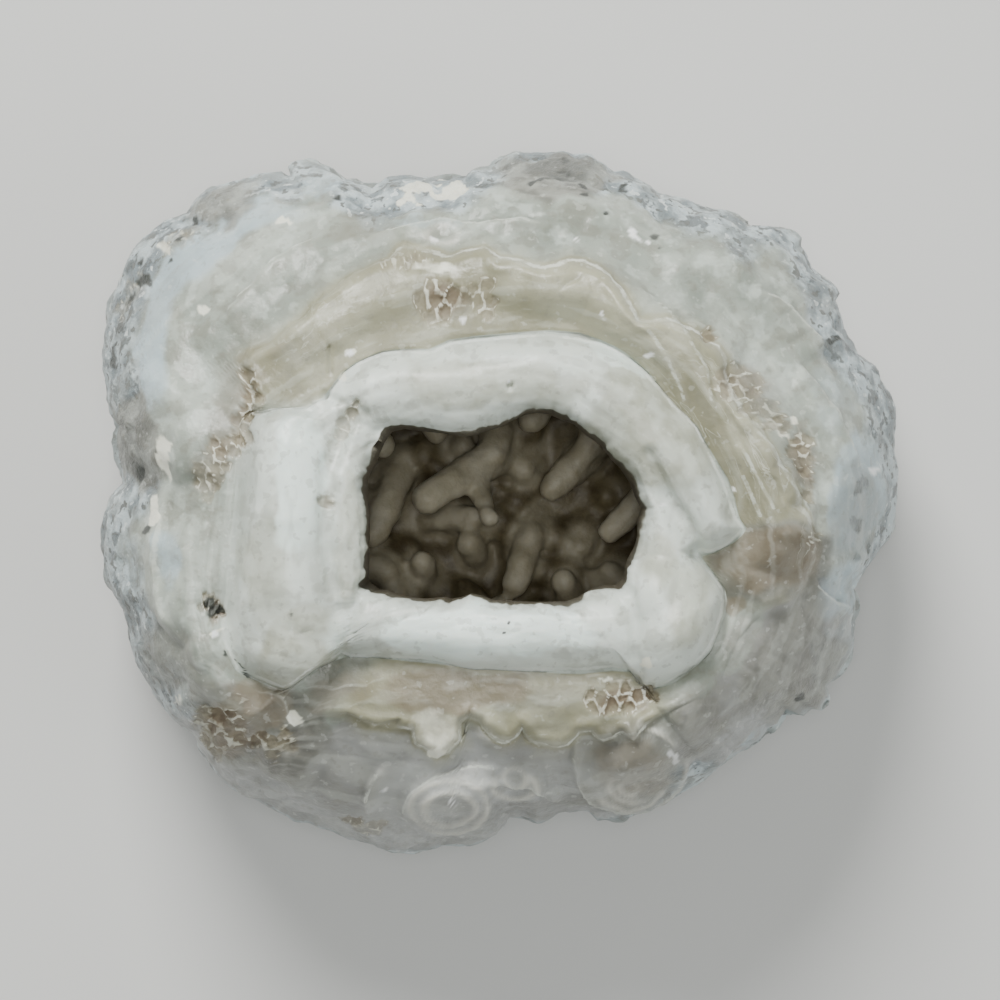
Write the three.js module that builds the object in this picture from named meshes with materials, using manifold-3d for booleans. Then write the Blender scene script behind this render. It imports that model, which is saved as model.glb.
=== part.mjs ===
// A hollow chalcedony nodule: a lumpy, folded rind around a cavity that opens upwards between thick white rolls,
// and the crust of stubby chalcedony fingers that lines the cavity. Millimetres, +Z up, the broken flat base on z = 0.
import * as THREE from "three";
import { mergeVertices } from "three/addons/utils/BufferGeometryUtils.js";
import Module from "manifold-3d";

const wasm = await Module();
wasm.setup();

// Driving dimensions, in millimetres.
const WIDTH = 80; // across the widest level, left to right
const WIDEST_Z = 17; // height of the widest level
const SHOULDER_Z = 39.6; // height of the rind at the foot of the collar
const BASE_SHARE = 0.58; // the flat base's radius as a share of the widest outline's
const EYE_Z = 420; // height from which the outlines below were drawn, looking straight down
const LIP_DROP = 2.6; // how far the rolls turn down at the lip of the opening
const COLLAR_DROP = 4.2; // how far the rolls turn down at the collar's outer edge
const TERRACE_RISE = 1.5; // how far the terrace stands above the shoulder
const FLOOR_Z = 7; // lowest point of the cavity
const CRUST_GAP = 0.6; // clearance between rind and crust, square to the axis
const CRUST_THICKNESS = 1.5; // at the hollows between its lumps
const PIT_RADIUS = 0.8; // smallest radius of one boxwork pit
const CREASE_WIDTH = 1.2; // how far the crease between two rolls is rounded out
const TERRACE_EDGE = 16; // width of the terrace's rounded edge in plan units
const FOOT_WIDTH = 3; // plan units from the edge of a step to its foot
const SHOULDER_RELIEF = 1.5; // height of the small lumps above the widest level
const FLANK_RELIEF = 2.2; // depth of the creases between lumps below it
const CRUST_RELIEF = 1.4; // height of the lumps that the crust is made of

// Mesh density.
const ANGLES = 84;
const COLLAR_ROWS = 9;
const TERRACE_ROWS = 5;
const SHOULDER_ROWS = 8;
const CRUST_ANGLES = 32;
const FINGER_SIDES = 6;

// Outlines are drawn in a 1000 x 1000 plan view, x to the right and y down, as the eye above sees them.
const PLAN_ORIGIN = { x: 499.4, y: 500.5 };
const PLAN_WIDTH = 788; // WIDTH in plan units, at the widest level
const EYE_TO_PLAN = (PLAN_WIDTH / WIDTH) * (EYE_Z - WIDEST_Z);
const AXIS = { x: 503, y: 506 }; // middle of the opening, which every ring of the mesh goes round

const OUTER_OUTLINE = [
  [105, 350], [111, 318], [117, 281], [133, 252], [156, 231], [186, 216], [203, 198], [230, 185], [268, 178],
  [290, 176], [293, 164], [306, 162], [321, 165], [334, 175], [352, 183], [372, 192], [385, 184], [397, 178],
  [415, 177], [430, 182], [452, 181], [471, 176], [490, 169], [508, 157], [526, 154], [562, 152], [588, 156],
  [598, 164], [613, 171], [636, 178], [659, 195], [679, 201], [721, 212], [738, 223], [747, 232], [760, 229],
  [777, 229], [793, 235], [799, 241], [796, 246], [808, 262], [812, 272], [824, 278], [837, 291], [832, 300],
  [838, 316], [842, 333], [854, 353], [872, 368], [879, 383], [892, 406], [890, 442], [895, 488], [889, 531],
  [881, 548], [872, 555], [857, 578], [851, 589], [854, 630], [847, 665], [826, 688], [831, 700], [826, 709],
  [808, 710], [800, 717], [794, 706], [778, 722], [768, 725], [739, 752], [712, 774], [687, 788], [655, 803],
  [632, 810], [621, 817], [600, 820], [591, 812], [555, 811], [543, 820], [530, 819], [524, 813], [506, 815],
  [492, 829], [492, 835], [473, 843], [442, 842], [405, 850], [377, 845], [350, 838], [338, 828], [324, 826],
  [313, 817], [299, 817], [260, 799], [237, 786], [217, 769], [203, 749], [195, 733], [172, 717], [156, 686],
  [140, 671], [131, 652], [131, 634], [120, 603], [110, 575], [105, 545], [112, 505], [126, 486], [121, 465],
  [119, 424], [111, 412], [110, 388],
];
const OPENING_OUTLINE = [
  [361, 478], [372, 460], [378, 438], [384, 426], [397, 423], [419, 427], [442, 430], [461, 433], [486, 426],
  [513, 416], [526, 409], [539, 407], [551, 409], [564, 415], [578, 420], [587, 430], [607, 445], [616, 458],
  [625, 467], [635, 482], [640, 496], [646, 508], [641, 523], [642, 536], [631, 561], [628, 582], [621, 589],
  [607, 588], [593, 591], [580, 600], [569, 605], [531, 605], [492, 604], [482, 599], [470, 597], [462, 600],
  [451, 603], [442, 600], [424, 602], [404, 600], [386, 595], [372, 592], [361, 585], [364, 565], [366, 536],
  [366, 514],
];

const COLLAR_OUTLINE = [
  [241, 440], [233, 510], [227, 590], [219, 636], [236, 671], [256, 680], [283, 690], [296, 684], [320, 666],
  [342, 656], [372, 657], [416, 661], [470, 667], [534, 671], [580, 673], [612, 670], [632, 671], [650, 689],
  [674, 682], [699, 660], [718, 630], [726, 601], [717, 577], [700, 556], [716, 552], [731, 544], [746, 528],
  [733, 499], [726, 479], [707, 446], [695, 424], [677, 408], [657, 384], [636, 363], [614, 347], [579, 334],
  [549, 331], [510, 334], [450, 341], [430, 350], [402, 350], [383, 352], [357, 363], [338, 378], [326, 396],
  [308, 408], [272, 409], [250, 414], [242, 424],
];

// Rolls of the white collar. Each point is plan x, plan y, half width in plan units and crest height in millimetres.
const ROLLS = {
  left: [[302, 420, 44, 44.4], [292, 455, 54, 45.3], [286, 520, 60, 46], [284, 585, 62, 45.6], [285, 640, 58, 44.6]],
  left_lip: [[352, 440, 20, 43.4], [344, 480, 26, 44.2], [342, 540, 28, 44.4], [345, 592, 24, 43.6]],
  top: [
    [347, 398, 26, 43.6], [375, 392, 34, 44.4], [420, 388, 42, 44.9], [480, 382, 44, 45.2], [540, 371, 42, 45.5],
    [585, 382, 44, 45.5], [628, 408, 46, 45.3], [660, 440, 42, 45.2], [690, 476, 38, 45], [713, 516, 36, 44.6],
  ],
  right_lip: [[648, 470, 24, 43.2], [664, 520, 27, 43.2], [668, 556, 29, 43.2], [664, 582, 30, 43.6]],
  bottom: [[346, 622, 32, 43.2], [368, 622, 33, 43.8], [400, 628, 36, 44.6], [460, 634, 38, 45], [580, 635, 38, 45], [612, 632, 38, 44.8]],
  corner: [[664, 606, 50, 45.2], [674, 624, 56, 46]],
};

// The terrace below the collar ends in this edge: a raised ridge along the top and right, a scalloped shelf below.
const TERRACE_OUTLINE = [
  [232, 470], [213, 500], [196, 560], [193, 610], [204, 650], [238, 684], [280, 705], [300, 724], [345, 720],
  [372, 727], [411, 733], [418, 746], [434, 756], [448, 752], [459, 740], [466, 728], [480, 724], [500, 738],
  [512, 740], [524, 731], [536, 744], [556, 749], [572, 743], [584, 734], [602, 743], [622, 736], [640, 738],
  [668, 720], [716, 690], [737, 640], [776, 606], [806, 580], [820, 556], [812, 530], [795, 505], [796, 488],
  [777, 467], [765, 436], [746, 416], [732, 388], [722, 356], [694, 330], [641, 316], [627, 303], [619, 287],
  [597, 267], [583, 262], [545, 267], [520, 258], [500, 260], [485, 248], [452, 254], [405, 248], [388, 260],
  [360, 272], [325, 290], [302, 317], [273, 344], [242, 358], [244, 376], [254, 395], [249, 425], [236, 446],
];

// Broad swellings of the rind. Each point is plan x, plan y, half width in plan units and rise in millimetres.
const SWELLS = {
  crown: [
    [262, 378, 40, 0.8], [300, 335, 44, 1.4], [350, 300, 46, 1.8], [410, 272, 48, 2.2], [490, 264, 46, 2.4],
    [545, 280, 46, 2.6], [596, 284, 46, 2.8], [636, 322, 46, 2.8], [690, 352, 50, 2.6], [724, 404, 50, 2.6],
    [758, 462, 52, 2.6], [784, 530, 56, 2.6], [768, 572, 52, 1.8],
  ],
  tongue: [[690, 690, 40, 2.2], [680, 730, 46, 3.6], [650, 762, 52, 4.6], [626, 778, 50, 4.6]],
  bubble: [[440, 812, 44, 3.8], [472, 802, 42, 3.8]],
  knob: [[806, 700, 26, 3], [818, 702, 24, 3]],
  left_lobe: [[160, 560, 52, 1.8], [172, 620, 56, 2.4], [222, 720, 60, 2.6], [280, 762, 52, 2]],
  left_upper_lobe: [[160, 330, 48, 2], [156, 390, 50, 2.2], [166, 450, 50, 2]],
  top_lobe: [[420, 214, 40, 2.4], [520, 196, 46, 2.2], [590, 198, 44, 2.2]],
  top_right_lobe: [[690, 252, 44, 2], [760, 262, 46, 2.4]],
  right_lobe: [[832, 400, 48, 2.2], [852, 480, 50, 2.6], [838, 560, 40, 1.8]],
};

// Patches of boxwork pits: plan x, plan y, the patch's two radii in plan units, and how many pits.
const PIT_PATCHES = {
  crown_left: [446, 300, 26, 17, 6],
  crown_right: [484, 300, 11, 14, 2],
  shelf: [622, 697, 34, 20, 7],
  right_upper: [736, 384, 26, 15, 5],
  right_lower: [768, 414, 24, 18, 5],
  right_edge: [806, 484, 8, 26, 3],
  lower_left: [248, 726, 44, 26, 8],
  left: [226, 400, 18, 52, 6],
};

// The cavity wall from the lip down: height, and how far the wall lies from the lip towards the widest outline.
const CAVITY_WALL = [[37.4, -0.02], [34, 0.14], [30.4, 0.38], [24, 0.52], [15, 0.45]];
const CAVITY_FLOOR = [[10, 0.82], [8, 0.45]]; // height, and share of the wall's radius at its foot

// The outside below the widest level, from the base up: height, and share of the widest outline's radius.
const FLANK = [[0.9, 0.67], [3.2, 0.81], [7, 0.92], [12, 0.985]];

// Fingers of the crust: root and tip, each as plan x, plan y and height, then the radius at the root and at the tip.
const FINGERS = [
  [[505, 452, 12], [424, 500, 18.5], 1.7, 1.5],
  [[472, 470, 12.5], [494, 524, 20], 1.15, 1.0],
  [[405, 520, 9], [484, 515, 13.5], 1.3, 1.1],
  [[497, 405, 11], [493, 458, 15.5], 1.7, 1.4],
  [[404, 462, 11], [373, 538, 15.5], 1.8, 1.3],
  [[590, 455, 11], [548, 491, 15], 1.6, 1.1],
  [[545, 500, 8], [514, 588, 15], 1.5, 1.4],
  [[430, 590, 8], [421, 560, 15.5], 1.2, 1.1],
  [[660, 480, 14], [610, 533, 15.5], 1.6, 1.1],
  [[580, 625, 9], [563, 580, 15.5], 1.5, 1.2],
  [[480, 570, 8], [470, 541, 13.5], 1.3, 1.3],
  [[555, 385, 13], [532, 421, 16], 1.6, 1.4],
  [[340, 560, 12], [388, 572, 14.5], 1.5, 1.2],
  [[640, 600, 12], [606, 572, 13.5], 1.5, 1.1],
  [[420, 395, 13], [436, 432, 15], 1.4, 1.2],
  [[350, 430, 15], [384, 445, 17.5], 1.5, 1.2],
  [[690, 520, 19], [652, 512, 20.5], 1.4, 1.0],
  [[500, 650, 12], [498, 606, 14.5], 1.5, 1.2],
];

const lerp = THREE.MathUtils.lerp;
const clamp = THREE.MathUtils.clamp;

// A repeatable number from 0 to 1 for a lattice point.
function hash(ix, iy, iz, seed) {
  let h = Math.imul(ix, 374761393) + Math.imul(iy, 668265263) + Math.imul(iz, 1440662683) + Math.imul(seed, 974634777);
  h = Math.imul(h ^ (h >>> 13), 1274126177);
  return ((h ^ (h >>> 16)) >>> 0) / 4294967296;
}

// Botryoidal relief from -1 to 1: rounded bumps, one in each cell of a jittered lattice, with creases between them.
function bumps(p, cell, seed) {
  const q = p.clone().divideScalar(cell);
  const [cx, cy, cz] = [Math.floor(q.x), Math.floor(q.y), Math.floor(q.z)];
  let nearest = Infinity;
  for (let ix = cx - 1; ix <= cx + 1; ix += 1)
    for (let iy = cy - 1; iy <= cy + 1; iy += 1)
      for (let iz = cz - 1; iz <= cz + 1; iz += 1) {
        const dx = ix + hash(ix, iy, iz, seed) - q.x;
        const dy = iy + hash(ix, iy, iz, seed + 1) - q.y;
        const dz = iz + hash(ix, iy, iz, seed + 2) - q.z;
        nearest = Math.min(nearest, dx * dx + dy * dy + dz * dz);
      }
  return 1 - 2 * Math.min(nearest, 1);
}

// Plan coordinates and a height to a point of the part.
function fromPlan(x, y, z) {
  const scale = (EYE_Z - z) / EYE_TO_PLAN;
  return new THREE.Vector3((x - PLAN_ORIGIN.x) * scale, (PLAN_ORIGIN.y - y) * scale, z);
}

// Distance in plan units from AXIS to the outline, in the direction of angle.
function outlineRadius(outline, angle) {
  const [c, s] = [Math.cos(angle), -Math.sin(angle)];
  let radius = 0;
  outline.forEach(([x0, y0], i) => {
    const [x1, y1] = outline[(i + 1) % outline.length];
    const [ax, ay, ex, ey] = [x0 - AXIS.x, y0 - AXIS.y, x1 - x0, y1 - y0];
    const turn = c * ey - s * ex;
    if (Math.abs(turn) < 1e-9) return;
    const along = (ax * ey - ay * ex) / turn;
    const share = (ax * s - ay * c) / turn;
    if (along > 0 && share >= 0 && share <= 1) radius = Math.max(radius, along);
  });
  return radius;
}

// Mean of the outline's radius over a few degrees either side, for levels that the plan doesn't show.
function smoothRadius(outline, angle, spread) {
  const offsets = [-1, -0.6, -0.2, 0.2, 0.6, 1];
  return offsets.reduce((sum, o) => sum + outlineRadius(outline, angle + o * spread), 0) / offsets.length;
}

// Nearest place on segment a-b to (x, y): its share along the segment and its distance.
function nearestOn(a, b, x, y) {
  const [ex, ey] = [b[0] - a[0], b[1] - a[1]];
  const share = clamp(((x - a[0]) * ex + (y - a[1]) * ey) / (ex * ex + ey * ey), 0, 1);
  return { share, distance: Math.hypot(x - a[0] - share * ex, y - a[1] - share * ey) };
}

// Height of a roll's round back at (x, y).
function rollHeight(path, x, y) {
  let height = -Infinity;
  for (let i = 1; i < path.length; i += 1) {
    const [a, b] = [path[i - 1], path[i]];
    const { share, distance } = nearestOn(a, b, x, y);
    const half = lerp(a[2], b[2], share);
    const sag = (0.5 * half * WIDTH) / PLAN_WIDTH;
    height = Math.max(height, lerp(a[3], b[3], share) - sag * Math.min((distance / half) ** 2, 2));
  }
  return height;
}

// Rise of a swelling at (x, y), fading to nothing at its half width.
function swellRise(path, x, y) {
  let rise = 0;
  for (let i = 1; i < path.length; i += 1) {
    const [a, b] = [path[i - 1], path[i]];
    const { share, distance } = nearestOn(a, b, x, y);
    const fade = 1 - Math.min(distance / lerp(a[2], b[2], share), 1) ** 2;
    rise = Math.max(rise, lerp(a[3], b[3], share) * fade * fade);
  }
  return rise;
}

// Distance from (x, y) to the outline's edge where it is inside, and a negative number outside.
function depthInside(outline, x, y) {
  let inside = false;
  let distance = Infinity;
  outline.forEach((a, i) => {
    const b = outline[(i + 1) % outline.length];
    distance = Math.min(distance, nearestOn(a, b, x, y).distance);
    if (a[1] > y !== b[1] > y && x < a[0] + ((b[0] - a[0]) * (y - a[1])) / (b[1] - a[1])) inside = !inside;
  });
  return inside ? distance : -distance;
}

// Quarter-round rise from 0 at the edge to 1 at width inside it.
function roundedEdge(depth, width) {
  const rest = 1 - clamp(depth / width, 0, 1);
  return Math.sqrt(1 - rest * rest);
}

// The higher of two heights, with the crease between them rounded out.
function smoothMax(a, b) {
  const overlap = Math.max(1 - Math.abs(a - b) / CREASE_WIDTH, 0);
  return Math.max(a, b) + (overlap * overlap * CREASE_WIDTH) / 4;
}

// Height of the collar at plan (x, y), which is fromLip plan units from the opening and fromEdge from its outer edge.
function collarHeight(x, y, fromLip, fromEdge) {
  const back = Object.values(ROLLS).reduce((all, path) => smoothMax(all, rollHeight(path, x, y)), 0);
  const turnDown = LIP_DROP * (1 - roundedEdge(fromLip, 24)) + COLLAR_DROP * (1 - roundedEdge(fromEdge, 34));
  return back - turnDown;
}

// Height of the rind outside the collar. share is 0 at the collar's foot and 1 at the outer outline.
function rindHeight(x, y, share) {
  const round = WIDEST_Z + (SHOULDER_Z - WIDEST_Z) * Math.sqrt(1 - share ** 2.2);
  const rise = Object.values(SWELLS).reduce((sum, path) => sum + swellRise(path, x, y), 0);
  const terrace = TERRACE_RISE * roundedEdge(depthInside(TERRACE_OUTLINE, x, y), TERRACE_EDGE);
  return round + (rise + terrace) * Math.min(1, 4 * (1 - share));
}

function collarRing(share) {
  return ringOf(ANGLES, (angle) => {
    const lip = outlineRadius(OPENING_OUTLINE, angle);
    const edge = outlineRadius(COLLAR_OUTLINE, angle);
    const r = lerp(lip, edge, share);
    const [x, y] = [AXIS.x + r * Math.cos(angle), AXIS.y - r * Math.sin(angle)];
    return fromPlan(x, y, collarHeight(x, y, r - lip, edge - r));
  });
}

// Where the rind's levels lie in the direction of angle, in plan units from AXIS.
function rindLevels(angle) {
  const foot = outlineRadius(COLLAR_OUTLINE, angle) + FOOT_WIDTH;
  return {
    foot,
    terrace: Math.max(outlineRadius(TERRACE_OUTLINE, angle), foot + FOOT_WIDTH),
    smoothRim: smoothRadius(OUTER_OUTLINE, angle, 0.12),
    rim: outlineRadius(OUTER_OUTLINE, angle),
  };
}

// One ring of the rind at the distance from AXIS that radiusAt gives for its levels.
function rindRing(radiusAt) {
  return ringOf(ANGLES, (angle) => {
    const levels = rindLevels(angle);
    const r = radiusAt(levels);
    const [x, y] = [AXIS.x + r * Math.cos(angle), AXIS.y - r * Math.sin(angle)];
    const share = Math.min((r - levels.foot) / (levels.rim - levels.foot), 1);
    const point = fromPlan(x, y, rindHeight(x, y, share));
    point.z += SHOULDER_RELIEF * share * bumps(point, 7, 11);
    return point;
  });
}

function terraceRing(share) {
  return rindRing(({ foot, terrace }) => lerp(foot, terrace, share));
}

function shoulderRing(share) {
  return rindRing(({ terrace, smoothRim, rim }) =>
    lerp(terrace + FOOT_WIDTH, lerp(smoothRim, rim, share ** 3), share),
  );
}

function ringOf(count, pointAt) {
  return Array.from({ length: count }, (_, j) => pointAt((2 * Math.PI * j) / count));
}

// A closed surface through rings that go round the axis, with a single point at each end.
function closedSurface(start, rings, end) {
  const count = rings[0].length;
  const points = [start, ...rings.flat(), end];
  const index = [];
  const at = (i, j) => 1 + i * count + (j % count);
  for (let j = 0; j < count; j += 1) {
    index.push(0, at(0, j + 1), at(0, j));
    for (let i = 0; i + 1 < rings.length; i += 1) {
      index.push(at(i, j), at(i, j + 1), at(i + 1, j + 1));
      index.push(at(i, j), at(i + 1, j + 1), at(i + 1, j));
    }
    index.push(points.length - 1, at(rings.length - 1, j), at(rings.length - 1, j + 1));
  }
  return new THREE.BufferGeometry().setFromPoints(points).setIndex(index);
}

function solidFrom(geometry) {
  const bare = geometry.clone();
  bare.deleteAttribute("normal");
  bare.deleteAttribute("uv");
  const merged = mergeVertices(bare, 1e-4);
  return new wasm.Manifold(
    new wasm.Mesh({
      numProp: 3,
      vertProperties: new Float32Array(merged.attributes.position.array),
      triVerts: new Uint32Array(merged.index.array),
    }),
  );
}

function geometryFrom(solid) {
  const { vertProperties, triVerts } = solid.getMesh();
  const geometry = new THREE.BufferGeometry();
  geometry.setAttribute("position", new THREE.BufferAttribute(new Float32Array(vertProperties), 3));
  geometry.setIndex(new THREE.BufferAttribute(new Uint32Array(triVerts), 1));
  geometry.computeVertexNormals();
  return geometry;
}

const axisPoint = fromPlan(AXIS.x, AXIS.y, WIDEST_Z);

// A point between the axis and the widest outline, at its own height, with creases between lumps.
function flankPoint(angle, z, share) {
  const shown = outlineRadius(OUTER_OUTLINE, angle);
  const mean = smoothRadius(OUTER_OUTLINE, angle, 0.12);
  const r = share * lerp(mean, shown, (z / WIDEST_Z) ** 2) * ((EYE_Z - WIDEST_Z) / EYE_TO_PLAN);
  const [c, s] = [Math.cos(angle), Math.sin(angle)];
  const smooth = new THREE.Vector3(axisPoint.x + r * c, axisPoint.y + r * s, z);
  const crease = z > 0 ? FLANK_RELIEF * (bumps(smooth, 9, 5) - 1) * 0.5 : 0;
  return smooth.add(new THREE.Vector3(c * crease, s * crease, 0));
}

// The cavity wall moved in towards the axis by inset millimetres.
function cavityPoint(angle, z, share, inset) {
  const lip = outlineRadius(OPENING_OUTLINE, angle);
  const blur = 1 - clamp((z - 30) / 10, 0, 1);
  const soft = lerp(lip, smoothRadius(OPENING_OUTLINE, angle, 0.3), blur);
  const r = lerp(soft, smoothRadius(OUTER_OUTLINE, angle, 0.3), share) * ((EYE_Z - z) / EYE_TO_PLAN) - inset;
  return new THREE.Vector3(axisPoint.x + r * Math.cos(angle), axisPoint.y + r * Math.sin(angle), z);
}

// The pits of one patch, as small faceted hollows to cut away from the rind.
function pitsOf([px, py, rx, ry, count], patch) {
  return Array.from({ length: count }, (_, i) => {
    const turn = i * 2.4 + patch;
    const reach = Math.sqrt((i + 0.5) / count);
    const [x, y] = [px + rx * reach * Math.cos(turn), py + ry * reach * Math.sin(turn)];
    const angle = Math.atan2(AXIS.y - y, x - AXIS.x);
    const { foot, rim } = rindLevels(angle);
    const share = (Math.hypot(x - AXIS.x, y - AXIS.y) - foot) / (rim - foot);
    const pit = new THREE.OctahedronGeometry(PIT_RADIUS * (1 + 0.5 * hash(i, patch, 0, 3)));
    pit.scale(1.25, 1, 1.6);
    pit.rotateZ(turn);
    const centre = fromPlan(x, y, rindHeight(x, y, share));
    return solidFrom(pit.translate(centre.x, centre.y, centre.z));
  });
}

function makeNodule() {
  const flat = [0.3, BASE_SHARE].map((share) => ringOf(ANGLES, (angle) => flankPoint(angle, 0, share)));
  const flank = FLANK.map(([z, share]) => ringOf(ANGLES, (angle) => flankPoint(angle, z, share)));
  const shoulder = Array.from({ length: SHOULDER_ROWS + 1 }, (_, i) =>
    shoulderRing(Math.sin(((SHOULDER_ROWS - i) / SHOULDER_ROWS) * (Math.PI / 2))),
  );
  const terrace = Array.from({ length: TERRACE_ROWS + 1 }, (_, i) => terraceRing(1 - i / TERRACE_ROWS));
  const collar = Array.from({ length: COLLAR_ROWS + 1 }, (_, i) =>
    collarRing(0.5 + 0.5 * Math.cos((i / COLLAR_ROWS) * Math.PI)),
  );
  const wall = CAVITY_WALL.map(([z, share]) => ringOf(ANGLES, (angle) => cavityPoint(angle, z, share, 0)));
  const foot = CAVITY_WALL.at(-1);
  const floor = CAVITY_FLOOR.map(([z, share]) =>
    ringOf(ANGLES, (angle) => {
      const edge = cavityPoint(angle, foot[0], foot[1], 0);
      return new THREE.Vector3(lerp(axisPoint.x, edge.x, share), lerp(axisPoint.y, edge.y, share), z);
    }),
  );
  const start = new THREE.Vector3(axisPoint.x, axisPoint.y, 0);
  const end = new THREE.Vector3(axisPoint.x, axisPoint.y, FLOOR_Z);
  const skin = solidFrom(closedSurface(start, [...flat, ...flank, ...shoulder, ...terrace, ...collar, ...wall, ...floor], end));
  const pits = Object.values(PIT_PATCHES).flatMap(pitsOf);
  return pits.reduce((solid, pit) => solid.subtract(pit), skin);
}

// A stubby finger: a round, slightly swollen tube with a domed tip.
function makeFinger([root, tip, rootRadius, tipRadius]) {
  const [a, b] = [fromPlan(...root), fromPlan(...tip)];
  const along = b.clone().sub(a).normalize();
  const side = new THREE.Vector3(0, 0, 1).cross(along).normalize();
  const up = along.clone().cross(side);
  const ring = (centre, radius) =>
    ringOf(FINGER_SIDES, (angle) =>
      centre.clone().addScaledVector(side, radius * Math.cos(angle)).addScaledVector(up, radius * Math.sin(angle)),
    );
  const stations = [[0, rootRadius * 1.25], [0.3, rootRadius], [0.7, tipRadius], [1, tipRadius]];
  const rings = stations.map(([t, r]) => ring(a.clone().lerp(b, t), r));
  rings.push(ring(b.clone().addScaledVector(along, tipRadius * 0.65), tipRadius * 0.68));
  return solidFrom(closedSurface(a, rings, b.clone().addScaledVector(along, tipRadius)));
}

// The crust's rings from the rim down to the floor, inset from the cavity wall, with lumps of the given height.
function crustRings(inset, relief) {
  const wall = CAVITY_WALL.slice(2);
  const foot = wall.at(-1);
  const sides = wall.map(([z, share]) =>
    ringOf(CRUST_ANGLES, (angle) => {
      const point = cavityPoint(angle, z, share, inset);
      return cavityPoint(angle, z, share, inset + relief * (1 + bumps(point, 4.5, 23)));
    }),
  );
  const floor = CAVITY_FLOOR.map(([z, share]) =>
    ringOf(CRUST_ANGLES, (angle) => {
      const edge = cavityPoint(angle, foot[0], foot[1], inset);
      const point = new THREE.Vector3(lerp(axisPoint.x, edge.x, share), lerp(axisPoint.y, edge.y, share), z + inset);
      point.z += relief * (1 + bumps(point, 4.5, 23));
      return point;
    }),
  );
  return [...sides, ...floor];
}

// The bowl that lies against the cavity wall, and the fingers that grow from it.
function makeCrust() {
  const outside = crustRings(CRUST_GAP, 0).reverse();
  const inside = crustRings(CRUST_GAP + CRUST_THICKNESS, CRUST_RELIEF);
  const bottom = new THREE.Vector3(axisPoint.x, axisPoint.y, FLOOR_Z + CRUST_GAP);
  const middle = new THREE.Vector3(axisPoint.x, axisPoint.y, FLOOR_Z + CRUST_GAP + CRUST_THICKNESS);
  const lid = new THREE.Vector3(axisPoint.x, axisPoint.y, outside.at(-1)[0].z);
  const bowl = solidFrom(closedSurface(bottom, [...outside, ...inside], middle));
  const cavity = solidFrom(closedSurface(bottom, outside, lid));
  const fingers = FINGERS.map(makeFinger).reduce((all, finger) => all.add(finger));
  const crust = bowl.add(fingers.intersect(cavity));
  return crust.decompose().reduce((best, piece) => (piece.volume() > best.volume() ? piece : best));
}

function namedMesh(name, solid, material) {
  const mesh = new THREE.Mesh(geometryFrom(solid), material);
  mesh.name = name;
  return mesh;
}

const milky = new THREE.MeshStandardMaterial({ color: 0xd3d5cf, roughness: 0.42, metalness: 0 });
const dusky = new THREE.MeshStandardMaterial({ color: 0x8f887a, roughness: 0.5, metalness: 0 });

const specimen = new THREE.Group();
specimen.name = "hollow_chalcedony";
specimen.add(namedMesh("nodule", makeNodule(), milky));
specimen.add(namedMesh("finger_crust", makeCrust(), dusky));

export default specimen;
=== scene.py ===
"""The looks of a hollow chalcedony nodule: pale folded rolls round an opening, a lumpy translucent rind,
boxwork pits, and a crust of stubby fingers inside the cavity, painted dark brown for the shade there."""

import math
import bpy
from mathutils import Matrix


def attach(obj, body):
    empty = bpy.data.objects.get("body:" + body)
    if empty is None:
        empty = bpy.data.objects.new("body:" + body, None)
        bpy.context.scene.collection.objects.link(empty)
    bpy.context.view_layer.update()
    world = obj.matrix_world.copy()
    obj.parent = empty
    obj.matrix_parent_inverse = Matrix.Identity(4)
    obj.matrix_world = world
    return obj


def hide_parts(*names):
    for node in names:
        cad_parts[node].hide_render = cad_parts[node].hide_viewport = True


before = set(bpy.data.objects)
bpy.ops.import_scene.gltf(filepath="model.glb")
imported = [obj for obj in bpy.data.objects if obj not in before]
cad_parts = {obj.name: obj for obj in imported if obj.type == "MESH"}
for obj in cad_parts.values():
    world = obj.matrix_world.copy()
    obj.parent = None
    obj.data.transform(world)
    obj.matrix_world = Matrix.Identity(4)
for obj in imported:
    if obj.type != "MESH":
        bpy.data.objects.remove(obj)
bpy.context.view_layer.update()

from types import SimpleNamespace

import bmesh
import bpy
import numpy as np

# Driving dimensions, in millimetres. They repeat the solid's, but the lip is crisper here.
MM = 0.001
WIDTH = 80.0
WIDEST_Z = 17.0
SHOULDER_Z = 39.6
BASE_SHARE = 0.58
EYE_Z = 420.0
LIP_DROP = 1.5
LIP_CHIP = 2.2
COLLAR_DROP = 4.2
TERRACE_RISE = 1.5
FOOT_RECESS = 0.6
FLANK_CREASE = 1.1
FLOOR_Z = 7.0
CRUST_GAP = 0.6
CRUST_THICKNESS = 1.5

# The plan view is the photograph's own frame, 1000 units square, x to the right and y down.
PLAN_SIZE = 1000.0
PLAN_ORIGIN = (499.4, 500.5)
PLAN_WIDTH = 788.0
EYE_TO_PLAN = (PLAN_WIDTH / WIDTH) * (EYE_Z - WIDEST_Z)
AXIS = (503.0, 506.0)

# Noise is read in a space that is flatter than the part, or it would look stretched on the steep rim
# from above.
FLATTENED = np.array([1.0, 1.0, 0.7])

# A distance in plan units beyond which an edge has no effect.
FAR = 40.0

# Mesh density of the nodule.
ANGLES = 640
BASE_ROWS = 3
FLANK_ROWS = 20
SHOULDER_ROWS = 51
TERRACE_ROWS = 25
COLLAR_ROWS = 44
WALL_ROWS = 8

# Mesh density of the crust, and its lumps: the spacing and the height of the lumps in millimetres.
CRUST_ANGLES = 180
CRUST_WALL_ROWS = 18
CRUST_FLOOR_ROWS = 14
CRUST_VOXEL = 0.42
CRUST_LUMP = 4.5
CRUST_RELIEF = 1.0

# Balls that the fingers and the small knobs are fused from: sizes in millimetres.
BALL_STEP = 0.6
BALL_UNEVEN = (0.93, 1.08)
KNOBS = 260
KNOB_ANGLES = 60
KNOB_RADII = (0.8, 2.0)

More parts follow.
